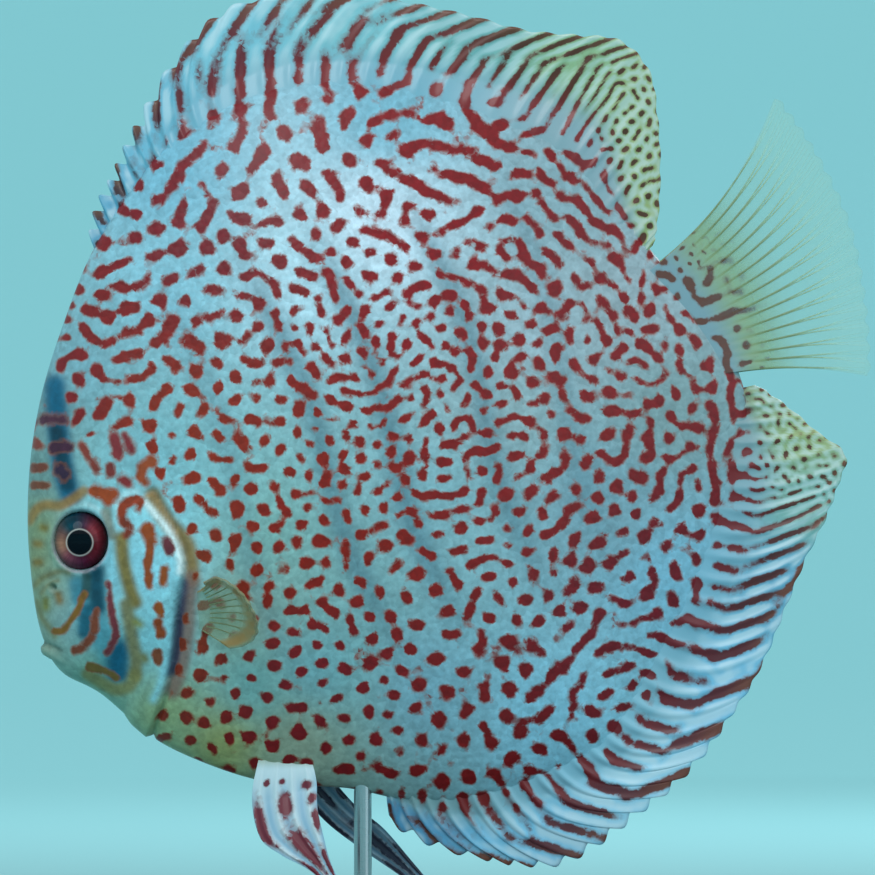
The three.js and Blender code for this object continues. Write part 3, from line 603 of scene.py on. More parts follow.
# Marks painted one by one on the face: colour, half width, line
FACE_MARKS = [
    ("#54283C", 0.9, [(-59, 25.3), (-55.9, 24.2)]),
    ("#4A2038", 1, [(-58.6, 20.1), (-56.4, 19.3)]),
    ("#38203A", 1.1, [(-59.1, 15.7), (-58.6, 15.1)]),
    ("#8A3B30", 0.8, [(-61.9, 21.9), (-61, 21.2)]),
    ("#7F3F30", 0.6, [(-63.7, 17.9), (-61.6, 17.1)]),
    ("#7F4530", 0.6, [(-64.7, 14.8), (-62.1, 14)]),
    ("#A8441C", 1, [(-54.6, 10.1), (-52.9, 9), (-51.8, 8.3)]),
    ("#A8441C", 0.95, [(-52.6, 8.7), (-52.5, 7.7)]),
    ("#A03A1C", 0.75, [(-48, 4.2), (-47.3, 5.1), (-48.1, 6.1), (-49.9, 6.2), (-51.1, 5.3),
     (-51.6, 3.3), (-51.6, 1.6)]),
    ("#8A3420", 0.95, [(-51.1, 2.6), (-51.4, 1.3)]),
    ("#A84A1C", 1, [(-47.9, 0.2), (-47.9, -1.6)]),
    ("#A04A20", 0.65, [(-48.2, -1.8), (-48.9, -3.6), (-50.1, -5.9), (-50.8, -9.2)]),
    ("#74303A", 0.8, [(-45.3, -2.8), (-45.4, -4.4)]),
    ("#A04C1C", 0.75, [(-47.4, -7.4), (-48.5, -9.5)]),
    ("#A2501E", 0.65, [(-50.6, -12.9), (-51, -14.6)]),
    ("#9C441C", 0.75, [(-51.8, -15.8), (-52.2, -17.8)]),
    ("#84442A", 0.65, [(-53.7, -20.9), (-54.2, -22.4)]),
    ("#8A5C24", 0.55, [(-62.6, -6.5), (-64.5, -8.6), (-66.8, -10.4), (-68.7, -11.4), (-70.1, -11)]),
    ("#86402A", 0.65, [(-61.6, -10.2), (-62.8, -12.8), (-64.3, -14.5), (-66.4, -15.7), (-67.8, -15.5)]),
    ("#7A3038", 0.62, [(-57.9, -6.6), (-58.6, -9.4), (-59.2, -12.2), (-59.5, -14.5), (-60.6, -16.4),
     (-62.3, -17.8)]),
    ("#80602C", 0.55, [(-66.4, -19), (-64.7, -20.2), (-63.2, -21.6), (-62.5, -22.8)]),
    ("#8C3A30", 0.75, [(-53.9, 18.7), (-53.6, 16.5), (-53, 13.7)]),
    ("#863430", 0.7, [(-50.5, 13.2), (-50.8, 12.1)]),
    ("#8C2E34", 0.85, [(-47.9, 17.9), (-48.5, 15)]),
    ("#8C2E34", 0.75, [(-46, 17.6), (-45.8, 15)]),
    ("#A44824", 0.85, [(-43, 11.5), (-44.5, 11.2), (-45.7, 10), (-45.6, 8.4)]),
    ("#8E2C2E", 1, [(-49, 10.3), (-48.5, 9.5)]),
]
# Outline of the face, where no marks grow but the painted ones
FACE_EDGE = [
    (-74, 26), (-60.5, 24), (-54, 20.5), (-44, 19.5), (-42, 12.5), (-43, 7.5), (-41, -1), (-42, -9),
    (-47.5, -18), (-54, -29.5), (-64, -37), (-82, -30), (-82, 20),
]
face_noise = smooth_noise(np.random.default_rng(FACE_SEED), 0.55)


def paint_skin(points):
    """Marks, ground colour, mark colour and how scaly the skin is, at each point. The ground colour holds
    painted highlight on the gill cover's rim and painted shade in the gill crease, gill slit, mouth and
    nostril.
    """
    flat = points[:, [0, 2]]
    marks = both_flanks(points)
    ground = colour_map(GROUND, points)
    ink = colour_map(INK, points)
    # Faint slate bars down the flank
    for middle, lean, strength in FLANK_BARS:
        across = points[:, 0] - middle - lean * points[:, 2] - 1.2 * np.sin(points[:, 2] / 9)
        bar = strength * np.exp(-((across / 2.6) ** 2)) * (1 - ease(np.abs(points[:, 2] - 3), 22, 46))
        ground = tinted(ground, BAR_SLATE, bar)
    # Bands and bars, among them the painted highlight on the gill cover's rim and the painted shade in the
    # crease and gill slit
    for colour, half, strength, path in BANDS:
        away = distance_to(flat, eased_line(path, 24))
        share = strength * np.exp(-((away / half) ** (4 if half > 0.85 else 2)))
        ground = tinted(ground, colour, share)
    in_face = inside(flat, FACE_EDGE)
    edge = distance_to(flat, FACE_EDGE + FACE_EDGE[:1])
    face = np.where(in_face, ease(edge, 0, 1.2), 0)
    bar_zone = np.exp(-((distance_to(flat, eased_line(BANDS[0][3], 12)) / 2.4) ** 4))
    face = np.maximum(face, bar_zone)
    marks = marks * (1 - face) - 1.2 * face
    uneven = on_map(face_noise, points[:, 0], points[:, 2])
    for colour, half, path in FACE_MARKS:
        away = distance_to(flat, eased_line(path, 20))
        marks = np.maximum(marks, 0.12 + 1.1 * (1 - away / half) + 0.26 * uneven)
        ink = tinted(ink, colour, 1 - ease(away, half, 2 * half))
    # Painted shade: a dark line in the slit of the mouth and in the pit of the nostril
    _, along, height = lip_depth(points)
    near_mouth = np.linalg.norm(flat - MOUTH_FRONT, axis=1) < 7
    line = 0.5 * np.exp(-((height / 0.35) ** 2)) * (1 - ease(along, 3.6, 5.2)) * near_mouth
    pit = np.exp(-((np.linalg.norm(flat - NOSTRIL, axis=1) / 0.6) ** 4))
    line = np.maximum(line, 0.35 * pit)
    ground = tinted(ground, "#3A3B2C", 0.85 * line)
    # Pale fold round the eye
    eye = from_eye(flat)
    fold = np.exp(-(((eye - 0.12) / 0.24) ** 2)) * (0.45 + 0.4 * ease(-((flat - EYE) @ EYE_UP), -2, 3))
    ground = tinted(ground, "#B0A8B4", fold)
    scaly = 1 - np.maximum(face * ease(-flat[:, 0], 40, 44), ease(-flat[:, 0] + 0.4 * flat[:, 1], 58, 66))
    return marks, ground, ink, scaly


def add_object(name, data):
    added = bpy.data.objects.new(name, data)
    bpy.context.collection.objects.link(added)
    return added


def mesh_object(name, points, faces, look):
    """A smooth mesh object at the origin with its place in its vertices, which are in metres."""
    mesh = bpy.data.meshes.new(name)
    mesh.from_pydata(points, [], faces)
    mesh.update()
    mesh.polygons.foreach_set("use_smooth", [True] * len(mesh.polygons))
    mesh.materials.append(look)
    return add_object(name, mesh)


def keep_values(piece, **values):
    """Stores a number or a colour for each vertex, which the materials read by name."""
    for name, value in values.items():
        value = np.asarray(value, np.float32)
        if value.ndim == 1:
            layer = piece.data.attributes.new(name, "FLOAT", "POINT")
            layer.data.foreach_set("value", value)
        else:
            layer = piece.data.attributes.new(name, "FLOAT_COLOR", "POINT")
            layer.data.foreach_set("color", np.c_[value, np.ones(len(value))].astype(np.float32).ravel())


def new_material(name):
    material = bpy.data.materials.new(name)
    material.use_nodes = True
    return material, material.node_tree, material.node_tree.nodes["Principled BSDF"]


def add_node(tree, kind, settings=None, **inputs):
    """Adds a node. settings are its properties, and each input is a value or an output socket to link."""
    node = tree.nodes.new(kind)
    for key, value in (settings or {}).items():
        setattr(node, key, value)
    for key, value in inputs.items():
        socket = node.inputs[int(key[1:])] if key[0] == "_" else node.inputs[key]
        if isinstance(value, bpy.types.NodeSocket):
            tree.links.new(value, socket)
        else:
            socket.default_value = value
    return node


def colour_input(hex_colour):
    return (*linear(hex_colour), 1)


def set_inputs(shader, values):
    """Sets a shader's own numbers and colours."""
    for name, value in values.items():
        shader.inputs[name].default_value = value


# How far the sprayed edges fray, and how far single small scales leave them, in the marks' own height
FRAYED = 0.7
CHIPPED = 0.8
CHIP_WIDTH = 0.0008


def marked_colour(tree, halo, halo_share, low, high, rough):
    """Ground, orange edge and mark in one colour, with edges that follow small scales."""
    marks = add_node(tree, "ShaderNodeAttribute", {"attribute_name": "marks"}).outputs["Fac"]
    place = add_node(tree, "ShaderNodeTexCoord").outputs["Object"]
    fringe = add_node(tree, "ShaderNodeTexNoise", Vector=place, Scale=1300.0, Detail=1.0).outputs["Fac"]
    chips = add_node(tree, "ShaderNodeTexVoronoi", Vector=place, Scale=1 / CHIP_WIDTH).outputs["Color"]
    chips = add_node(tree, "ShaderNodeSeparateColor", Color=chips).outputs[0]
    add = {"operation": "MULTIPLY_ADD"}
    centred = -(FRAYED + CHIPPED) / 2
    uneven = add_node(tree, "ShaderNodeMath", add, _0=fringe, _1=FRAYED, _2=centred).outputs[0]
    uneven = add_node(tree, "ShaderNodeMath", add, _0=chips, _1=CHIPPED, _2=uneven).outputs[0]
    marks = add_node(tree, "ShaderNodeMath", add, _0=uneven, _1=rough, _2=marks).outputs[0]
    ground = add_node(tree, "ShaderNodeAttribute", {"attribute_name": "ground"}).outputs["Color"]
    ink = add_node(tree, "ShaderNodeAttribute", {"attribute_name": "ink"}).outputs["Color"]
    edge = add_node(tree, "ShaderNodeMapRange", _0=marks, _1=low - 0.6, _2=low + 0.1).outputs[0]
    edge = add_node(tree, "ShaderNodeMath", {"operation": "MULTIPLY"}, _0=edge, _1=halo_share).outputs[0]
    core = add_node(tree, "ShaderNodeMapRange", _0=marks, _1=low, _2=high).outputs[0]
    mix = {"data_type": "RGBA"}
    halo = add_node(tree, "ShaderNodeMix", mix, _0=0.4, _6=ink, _7=colour_input(halo)).outputs[2]
    rimmed = add_node(tree, "ShaderNodeMix", mix, _0=edge, _6=ground, _7=halo).outputs[2]
    return add_node(tree, "ShaderNodeMix", mix, _0=core, _6=rimmed, _7=ink).outputs[2]


# Scaled skin, satin lacquer over airbrushed colour: each scale, 1.3 mm wide, catches the light by itself
SCALE_WIDTH = 0.0013
skin_look, tree, shader = new_material("fish_skin_satin_lacquer")
place = add_node(tree, "ShaderNodeTexCoord").outputs["Object"]
ripple = add_node(tree, "ShaderNodeTexNoise", Vector=place, Scale=900.0, Detail=2.0).outputs["Fac"]
scales = add_node(tree, "ShaderNodeTexVoronoi", Vector=place, Scale=1 / SCALE_WIDTH)
scaly = add_node(tree, "ShaderNodeAttribute", {"attribute_name": "scaly"}).outputs["Fac"]
rough = add_node(tree, "ShaderNodeMapRange", _0=scaly, _3=0.4, _4=0.85).outputs[0]
painted = marked_colour(tree, "#B8622C", 0.7, 0.0, 0.55, rough)
scale_value = add_node(tree, "ShaderNodeSeparateColor", Color=scales.outputs["Color"]).outputs[0]
gleam = add_node(tree, "ShaderNodeMapRange", _0=scale_value, _3=0.92, _4=1.1).outputs[0]
fleck = add_node(tree, "ShaderNodeMapRange", _0=ripple, _1=0.3, _2=0.7, _3=0.88, _4=1.13).outputs[0]
gleam = add_node(tree, "ShaderNodeMath", {"operation": "MULTIPLY"}, _0=gleam, _1=fleck).outputs[0]
toned = add_node(tree, "ShaderNodeVectorMath", {"operation": "SCALE"}, _0=painted, Scale=gleam).outputs[0]
tree.links.new(toned, shader.inputs["Base Color"])
domes = scales.outputs["Distance"]
height = add_node(tree, "ShaderNodeMath", {"operation": "MULTIPLY"}, _0=domes, _1=scaly).outputs[0]
bump = add_node(tree, "ShaderNodeBump", {"invert": True}, Strength=0.35, Distance=0.0002, Height=height)
tree.links.new(bump.outputs["Normal"], shader.inputs["Normal"])
set_inputs(shader, {"Roughness": 0.4, "IOR": 1.36, "Coat Weight": 0.1, "Coat Roughness": 0.2})

points, triangles = skin_rings()
skin_normals = normals_of(points, triangles)
marks, ground, ink, scaly_skin = paint_skin(points)
points = points + raised(points, skin_normals)[:, None] * skin_normals
skin = mesh_object("skin", posed(points).tolist(), triangles.tolist(), skin_look)
keep_values(skin, marks=marks, ground=ground, ink=ink, scaly=scaly_skin)
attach(skin, "root")
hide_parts("head", "torso", "tail_stalk", "gill_cover_left", "gill_cover_right")

# Eyes
# Glass eyes as a taxidermist sets them: a flattened ball, its iris painted behind the glass in dark teal,
# crimson and gold round a black pupil with a thin silver ring, pressed into the socket from outside.
EYE_BULGE = 1.7
EYE_DEPTH = 3.6
PUPIL_RADIUS = 2.25
PUPIL_OFFSET = np.array([-0.26, -0.32])
# Colour round the iris, by angle from the rear
IRIS = [
    (0, "#641A24"), (45, "#7E2C36"), (75, "#43283A"), (100, "#0A3040"), (130, "#1E3C46"),
    (155, "#6A4A44"), (190, "#A06C58"), (225, "#8A4850"), (270, "#5A2238"), (315, "#5C1624"),
]
# Polished glass over paint: a wet look with one small highlight
eye_look, tree, shader = new_material("glass_eye")
painted = add_node(tree, "ShaderNodeAttribute", {"attribute_name": "ground"}).outputs["Color"]
tree.links.new(painted, shader.inputs["Base Color"])
set_inputs(shader, {"Roughness": 0.05, "IOR": 1.34, "Specular IOR Level": 0.25})


def eye_colour(flat):
    """Colour of the iris and pupil at points (x, z) from the middle of the eye, with painted shade round
    its edge.
    """
    rng = np.random.default_rng(21)
    offset = flat - PUPIL_OFFSET
    radius = np.hypot(offset[:, 0], offset[:, 1])
    turn = np.degrees(np.arctan2(offset[:, 1], offset[:, 0]))
    colour = through([(angle, *linear(tone)) for angle, tone in IRIS], turn, 360)
    spokes = np.zeros(len(flat))
    for count in (17, 29, 43, 61):
        spokes += np.sin(np.radians(turn) * count + rng.uniform(0, 6)) / 4
    colour = colour * (1 + 0.25 * spokes * ease(radius, 2.4, 3.2))[:, None]
    colour = colour * (0.85 + 0.5 * np.exp(-(((radius - 3.35) / 0.55) ** 2)))[:, None]
    # Painted shade: the eye darkens towards the edge of the ball, where it sinks into the socket
    rim = ease(np.hypot(flat[:, 0] / EYE_WIDE, flat[:, 1] / EYE_HIGH), 0.87, 0.99)[:, None]
    colour = colour * (1 - 0.65 * rim)
    silver = 0.75 * np.exp(-(((radius - PUPIL_RADIUS - 0.12) / 0.12) ** 2))[:, None]
    colour = colour * (1 - silver) + linear("#D8CFC8") * silver
    pupil = 1 - ease(radius, PUPIL_RADIUS - 0.1, PUPIL_RADIUS + 0.04)[:, None]
    return np.clip(colour * (1 - pupil) + linear("#020A14") * pupil, 0, 1)


def turned(profile, around, closed):
    """Points and faces turned round a middle line. profile is (radius, height) from the middle outwards."""
    points = [(0.0, 0.0, profile[0][1])]
    rings = profile[1:-1] if closed else profile[1:]
    for radius, high in rings:
        for k in range(around):
            turn = 2 * math.pi * k / around
            points.append((radius * math.cos(turn), radius * math.sin(turn), high))
    last = 1 + (len(rings) - 1) * around
    if closed:
        points.append((0.0, 0.0, profile[-1][1]))
    faces = []
    for k in range(around):
        n = (k + 1) % around
        faces.append((0, 1 + k, 1 + n))
        if closed:
            faces.append((len(points) - 1, last + n, last + k))
        for r in range(len(rings) - 1):
            a, b = 1 + r * around + k, 1 + r * around + n
            faces.append((a, a + around, b + around, b))
    return points, faces


BALL_RINGS = 120
BALL_AROUND = 128
half_circle = [(math.sin(angle), -math.cos(angle)) for angle in np.linspace(0, math.pi, BALL_RINGS + 1)]
for side, name in ((-1, "eye_left"), (1, "eye_right")):
    unit, faces = turned(half_circle, BALL_AROUND, closed=True)
    unit = np.array(unit)[:, [0, 2, 1]]
    colour = eye_colour(unit[:, [0, 2]] * np.array([EYE_WIDE, EYE_HIGH]))
    surface = half_thickness(EYE[0], EYE[1])
    flat = unit[:, :1] * EYE_WIDE * EYE_ACROSS + unit[:, 2:] * EYE_HIGH * EYE_UP + EYE
    out = unit[:, 1] * EYE_DEPTH + side * (surface + EYE_BULGE - EYE_DEPTH)
    points = posed(np.stack([flat[:, 0], out, flat[:, 1]], 1))
    glass = mesh_object(name + "_glass", points.tolist(), faces, eye_look)
    shaped = bmesh.new()
    shaped.from_mesh(glass.data)
    bmesh.ops.recalc_face_normals(shaped, faces=shaped.faces)
    shaped.to_mesh(glass.data)
    shaped.free()
    keep_values(glass, ground=colour)
    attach(glass, "root")
    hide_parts(name)

# Unpaired fins
# Thin cast membranes with the rays as ridges on both faces and a free, scalloped edge, spined at the front.
# Their stripes run on from the body's marks along the rays, and turn to fine dots at the rear.
MEMBRANE = 0.27
RAY_AT_ROOT = 1.0
RAY_AT_TIP = 0.34
FIN_EDGE = 0.16


def fin_half(root_half, ridge, v):
    """Half the fin's thickness from root to edge. ridge is 1 on a ray and 0 between two."""
    body = root_half * (1 - ease(v, 0, 0.45))
    rise = (RAY_AT_ROOT + (RAY_AT_TIP - RAY_AT_ROOT) * v - MEMBRANE) * ease(v, 0.02, 0.3) * 0.6 + 0.12
    return np.where(v >= 1, FIN_EDGE, np.maximum(MEMBRANE, body) + ridge * rise)


def fin_plate(rays, columns, rows, place, root_half, ridge=1, stands_out=False):
    """Vertices, quads, and each vertex's place across and along the rays, of a closed thin fin."""
    u, v = np.meshgrid(np.linspace(0, 1, rays * columns + 1), np.linspace(0, 1, rows + 1), indexing="ij")
    wave = 0.5 - 0.5 * np.cos(2 * np.pi * u * rays)
    middle = place(u, v, wave)
    normal = np.zeros_like(middle) + (0, 1, 0)
    if stands_out:
        normal = np.cross(np.gradient(place(u, v, wave * 0 + 1), axis=0), np.gradient(middle, axis=1))
        normal /= np.linalg.norm(normal, axis=-1, keepdims=True)
    half = fin_half(root_half, ridge * wave**3, v)[..., None]
    points = np.concatenate([middle - half * normal, middle + half * normal]).reshape(-1, 3)
    near = np.arange(u.size).reshape(u.shape)
    far = near + u.size
    faces = []
    for index, flip in ((near, True), (far, False)):
        corners = [index[:-1, :-1], index[1:, :-1], index[1:, 1:], index[:-1, 1:]]
        quad = np.stack([c.reshape(-1) for c in corners], 1)
        faces.append(quad[:, ::-1] if flip else quad)
    edges = ((near[:, 0], far[:, 0]), (far[:, -1], near[:, -1]), (far[0], near[0]), (near[-1], far[-1]))
    for first, second in edges:
        faces.append(np.stack([first[:-1], first[1:], second[1:], second[:-1]], 1))
    faces = np.concatenate(faces)
    corner = points[faces]
    sixfold_volume = np.einsum("ij,ij->i", corner[:, 0], np.cross(corner[:, 1], corner[:, 2])).sum()
    sixfold_volume += np.einsum("ij,ij->i", corner[:, 0], np.cross(corner[:, 2], corner[:, 3])).sum()
    if sixfold_volume < 0:
        faces = faces[:, ::-1]
    return points, faces, np.tile(u.ravel(), 2), np.tile(v.ravel(), 2)


def median_place(rows, inset, notch, sway):
    table = [(k / (len(rows) - 1), *row) for k, row in enumerate(rows)]

    def place(u, v, wave):
        root_turn, tip_turn, tip_radius = np.moveaxis(through(table, u), -1, 0)
        root, tip = np.radians(root_turn), np.radians(tip_turn)
        start = outline_radius(root_turn) - inset
        end = tip_radius - notch(u) * (1 - wave**0.8)
        x0, z0 = start * np.cos(root), start * np.sin(root)
        x2, z2 = end * np.cos(tip), end * np.sin(tip)
        reach = 0.5 * np.hypot(x2 - x0, z2 - z0)
        x1, z1 = x0 + reach * np.cos(root), z0 + reach * np.sin(root)
        x = (1 - v) ** 2 * x0 + 2 * v * (1 - v) * x1 + v * v * x2
        z = (1 - v) ** 2 * z0 + 2 * v * (1 - v) * z1 + v * v * z2
        return np.stack([x, sway(u) * v * v, z], -1)

    return place


# Fin membrane, thin clear resin tinted from behind: it lets a little light through, most at its outer edge
fin_look, tree, shader = new_material("fin_tinted_resin")
painted = marked_colour(tree, "#9A5A3A", 0.4, 0.15, 0.6, 0.6)
tree.links.new(painted, shader.inputs["Base Color"])
solid = add_node(tree, "ShaderNodeAttribute", {"attribute_name": "solid"}).outputs["Fac"]
tree.links.new(solid, shader.inputs["Alpha"])
set_inputs(shader, {"Roughness": 0.38, "IOR": 1.5, "Coat Weight": 0.2, "Coat Roughness": 0.15})


def fin_piece(name, node, points, faces, **values):
    piece = mesh_object(name, posed(points).tolist(), faces.tolist(), fin_look)
    keep_values(piece, **values)
    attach(piece, "root")
    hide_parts(node)


# Colours over the two long fins: x, z and tint, for the ground and for the marks
DORSAL_GROUND = [
    (-38, 55, "#62AECE"), (-22, 70, "#78C2DC"), (-5, 78, "#8CD0E2"), (20, 75, "#94D2DC"),
    (38, 66, "#86C2C2"), (55, 55, "#A8C898"), (64, 45, "#B4C284"), (60, 28, "#B0BC7C"),
]
DORSAL_INK = [
    (-35, 58, "#35101F"), (-5, 76, "#701424"), (25, 72, "#801E1E"), (50, 60, "#602A14"),
    (62, 36, "#5C3014"),
]
ANAL_GROUND = [
    (-24, -68, "#4E9CC8"), (-5, -76, "#86CEF0"), (20, -74, "#A4DEF8"), (42, -62, "#82CAEC"),
    (56, -48, "#6EB4D4"), (68, -36, "#8CBEB4"), (70, -24, "#B0C080"), (64, -14, "#9CB490"),
]
ANAL_INK = [
    (-22, -72, "#5C2010"), (10, -76, "#5E1222"), (40, -62, "#661624"), (60, -46, "#5C1A1C"),
    (70, -28, "#5C2A12"),
]


def striped_fin(points, v, ground_rows, ink_rows, fringe):
    """Marks, ground and mark colour of an unpaired fin, which take over from the body's at its root."""
    marks = both_flanks(points)
    own = ease(v, 0.22, 0.6)[:, None]
    ground = colour_map(ground_rows, points, 12)
    ground = tinted(ground, "#E8F8FE", 0.5 * ease(-marks, 0.5, 1.3))
    ground = colour_map(GROUND, points) * (1 - own) + ground * own
    ink = colour_map(ink_rows, points, 12)
    ink = tinted(ink, fringe, 0.55 * ease(v, 0.75, 1))
    ink = colour_map(INK, points) * (1 - own) + ink * own
    return marks, ground, ink


for name, rays, rows, notch, sway, ground_rows, ink_rows, fringe in (
    ("dorsal", 34, DORSAL_ROWS, (1.7, 0.2, 0.42), (5.5, 0.4), DORSAL_GROUND, DORSAL_INK, "#7A4A2A"),
    ("anal", 32, ANAL_ROWS, (1.2, 0.3, 0.55), (5, 2.2), ANAL_GROUND, ANAL_INK, "#8A4A2A"),
):
    place = median_place(
        rows,
        4,
        lambda u: 0.4 + notch[0] * (1 - ease(u, notch[1], notch[2])),
        lambda u: 1.6 * np.sin(sway[0] * u + sway[1]),
    )
    points, faces, _, along = fin_plate(rays, 10, 44, place, 1.7)
    marks, ground, ink = striped_fin(points, along, ground_rows, ink_rows, fringe)
    values = {"marks": marks, "ground": ground, "ink": ink, "solid": 1 - 0.12 * along}
    fin_piece(name + "_membrane", name + "_fin", points, faces, **values)

# Rays of the tail fin, as for the long fins: it is clear, so its marks fade out past the root
CAUDAL_ROWS = [
    (-8.4, -12.2, 85.6), (-3.5, -3.4, 87.8), (2, 5.6, 90.2), (8, 14.6, 91.4), (14.2, 22.4, 92),
]
CAUDAL_RAYS = 16
caudal_place = median_place(CAUDAL_ROWS, 5, lambda u: 0.7, lambda u: 3 + 1.2 * np.sin(4 * u))
points, faces, _, along = fin_plate(CAUDAL_RAYS, 14, 60, caudal_place, 2, ridge=0)
fade = ease(along, 0.22, 0.62)
marks = both_flanks(points)
marks = marks * (1 - fade) - 1.3 * fade
ground = linear("#86A4B0") * np.ones((len(points), 3))
ground = tinted(ground, "#A4BC8C", ease(along, 0.12, 0.34))
ground = tinted(ground, "#C4DCB0", ease(along, 0.42, 0.95))
ink = linear("#6A3A2E") * np.ones((len(points), 3))
solid = 1 - 0.9 * ease(along, 0.1, 0.62)
fin_piece("caudal_membrane", "caudal_fin", points, faces, marks=marks, ground=ground, ink=ink, solid=solid)

# Paired fins
# The breast fins stand out behind the gill covers, clear amber fans. The belly fins hang as stiff white and
# blue ribbons with maroon streaks, each drawn out into one long streamer. All are cast like the other fins.

# Belly fins: place along the fin, front edge x and z, rear edge x and z, distance out from the middle plane
PELVIC_LEFT_ROWS = [
    (0, -42.9, -44.2, -34.6, -48.7, 2.4), (0.28, -47, -51.4, -35.1, -52.6, 4.2),
    (0.5, -48, -58.6, -36.6, -57.4, 6), (0.66, -45.4, -62.8, -37.2, -62, 7.2),
    (0.82, -41.4, -67.4, -37.6, -66.9, 8.3), (1, -37.9, -74.9, -37.1, -74.5, 9.2),
]
PELVIC_RIGHT_ROWS = [
    (0, -42.9, -44.2, -34.6, -48.7, 2.4), (0.3, -39.2, -52.5, -32.4, -53.4, 4),
    (0.5, -36, -60.4, -29.8, -59.8, 5.6), (0.66, -31.8, -67, -26.8, -64.8, 6.8),
    (0.82, -26.6, -74.4, -24, -72.2, 8.2), (1, -20.8, -83.7, -20.1, -83.1, 9.6),
]
# Breast fins: place across the fin, tip x and z, distance out, and how far the ray bows forward
PECTORAL_ROWS = [
    (0, -41.6, -12, 23, -1), (0.15, -38.8, -12, 31, -1.6), (0.35, -36, -15.2, 37, -2),
    (0.55, -34.8, -19.2, 38, -2), (0.75, -35.2, -23.2, 34, -1.6), (0.9, -37.6, -24.9, 28, -1),
    (1, -41, -24.8, 22, 0),
]
PECTORAL_ROOT = ((-43.4, -13.2), (-45.6, -19.2))


def pelvic_place(rows, side):
    def place(u, v, wave):
        front_x, front_z, rear_x, rear_z, out = np.moveaxis(through(rows, v), -1, 0)
        x, z = front_x + (rear_x - front_x) * u, front_z + (rear_z - front_z) * u
        return np.stack([x, side * out, z], -1)

    return place


def pectoral_place(side):
    (x0, z0), (x1, z1) = PECTORAL_ROOT

    def place(u, v, wave):
        tip_x, tip_z, tip_out, bow = np.moveaxis(through(PECTORAL_ROWS, u), -1, 0)
        x, z = x0 + (x1 - x0) * u, z0 + (z1 - z0) * u
        root = np.stack([x, side * (half_thickness(x, z) - 2), z], -1)
        tip = np.stack([tip_x, side * tip_out, tip_z], -1)
        at = root + (tip - root) * (v * (1 - 0.02 * (1 - wave**0.8)))[..., None]
        at[..., 0] -= 4 * bow * v * (1 - v)
        return at

    return place


# Streaks on the belly fins: place across and along the fin, half width, half length
STREAKS = [
    (0.22, 0.2, 0.06, 0.03), (0.47, 0.21, 0.06, 0.03), (0.08, 0.46, 0.1, 0.18), (0.5, 0.38, 0.13, 0.1),
    (0.5, 0.7, 0.22, 0.2), (0.85, 0.28, 0.1, 0.05), (0.92, 0.4, 0.09, 0.05), (0.95, 0.55, 0.08, 0.09),
    (0.12, 0.84, 0.12, 0.12), (0.88, 0.82, 0.12, 0.12),
]
PELVIC_RAYS = 4
# The right fin, on the far side, is a shaded copy of the left: painted shade gives it darker grooves, a
# dark blue wash over all and darker streaks
for side, name, rows, groove, far_fin_shade, streak in (
    (-1, "left", PELVIC_LEFT_ROWS, "#5FA8CC", 0, "#7A1830"),
    (1, "right", PELVIC_RIGHT_ROWS, "#175A7C", 0.55, "#20203C"),
):
    points, faces, across, along = fin_plate(PELVIC_RAYS, 20, 90, pelvic_place(rows, side), 1.3)
    streaks = -1.2 * np.ones(len(points))
    for u, v, wide, long in STREAKS:
        streaks = np.maximum(streaks, 1 - np.hypot((across - u) / wide, (along - v) / long))
    ground = linear("#DCEFF8") * np.ones((len(points), 3))
    shade = (0.5 + 0.5 * np.cos(2 * np.pi * across * PELVIC_RAYS)) * ease(along, 0.12, 0.4)
    # The dark blue wash over the right fin is painted shade
    ground = tinted(tinted(ground, groove, 0.75 * shade), "#2A7698", far_fin_shade)
    own = ease(along, 0.0, 0.12)[:, None]
    ground = colour_map(GROUND, points) * (1 - own) + ground * own
    values = {"marks": 1.8 * streaks, "ground": ground, "solid": 1 - 0.1 * along}
    values["ink"] = linear(streak) * np.ones((len(points), 3))
    fin_piece("pelvic_" + name, "pelvic_fin_" + name, points, faces, **values)

PECTORAL_RAYS = 11
for side, name in ((-1, "left"), (1, "right")):
    place = pectoral_place(side)
    points, faces, across, along = fin_plate(PECTORAL_RAYS, 10, 48, place, 1, ridge=0, stands_out=True)
    border = ease(along, 0.55, 0.78) * (1 - 0.6 * ease(along, 0.9, 1))
    border = np.maximum(border, 1 - ease(across, 0.0, 0.12))
    ground = tinted(linear("#A9C09C") * np.ones((len(points), 3)), "#B98A3E", 0.9 * border)
    values = {"marks": -1.3 + 0 * along, "ground": ground, "ink": ground, "solid": 0.25 + 0.45 * border}
    fin_piece("pectoral_" + name, "pectoral_fin_" + name, points, faces, **values)

# Fin rays
# Thin horn-coloured rods cast into the clear tail fin and breast fins. Each leaves the root singly, tapers,
# and splits twice on its way to the edge. One node tree turns their lines into round rods.

# Horn-coloured resin: warm pale lines that fade into the clear fin towards its edge
ray_look, tree, shader = new_material("fin_ray_horn")
painted = add_node(tree, "ShaderNodeAttribute", {"attribute_name": "ground"}).outputs["Color"]
tree.links.new(painted, shader.inputs["Base Color"])
solid = add_node(tree, "ShaderNodeAttribute", {"attribute_name": "solid"}).outputs["Fac"]
tree.links.new(solid, shader.inputs["Alpha"])
set_inputs(shader, {"Roughness": 0.45, "IOR": 1.54})

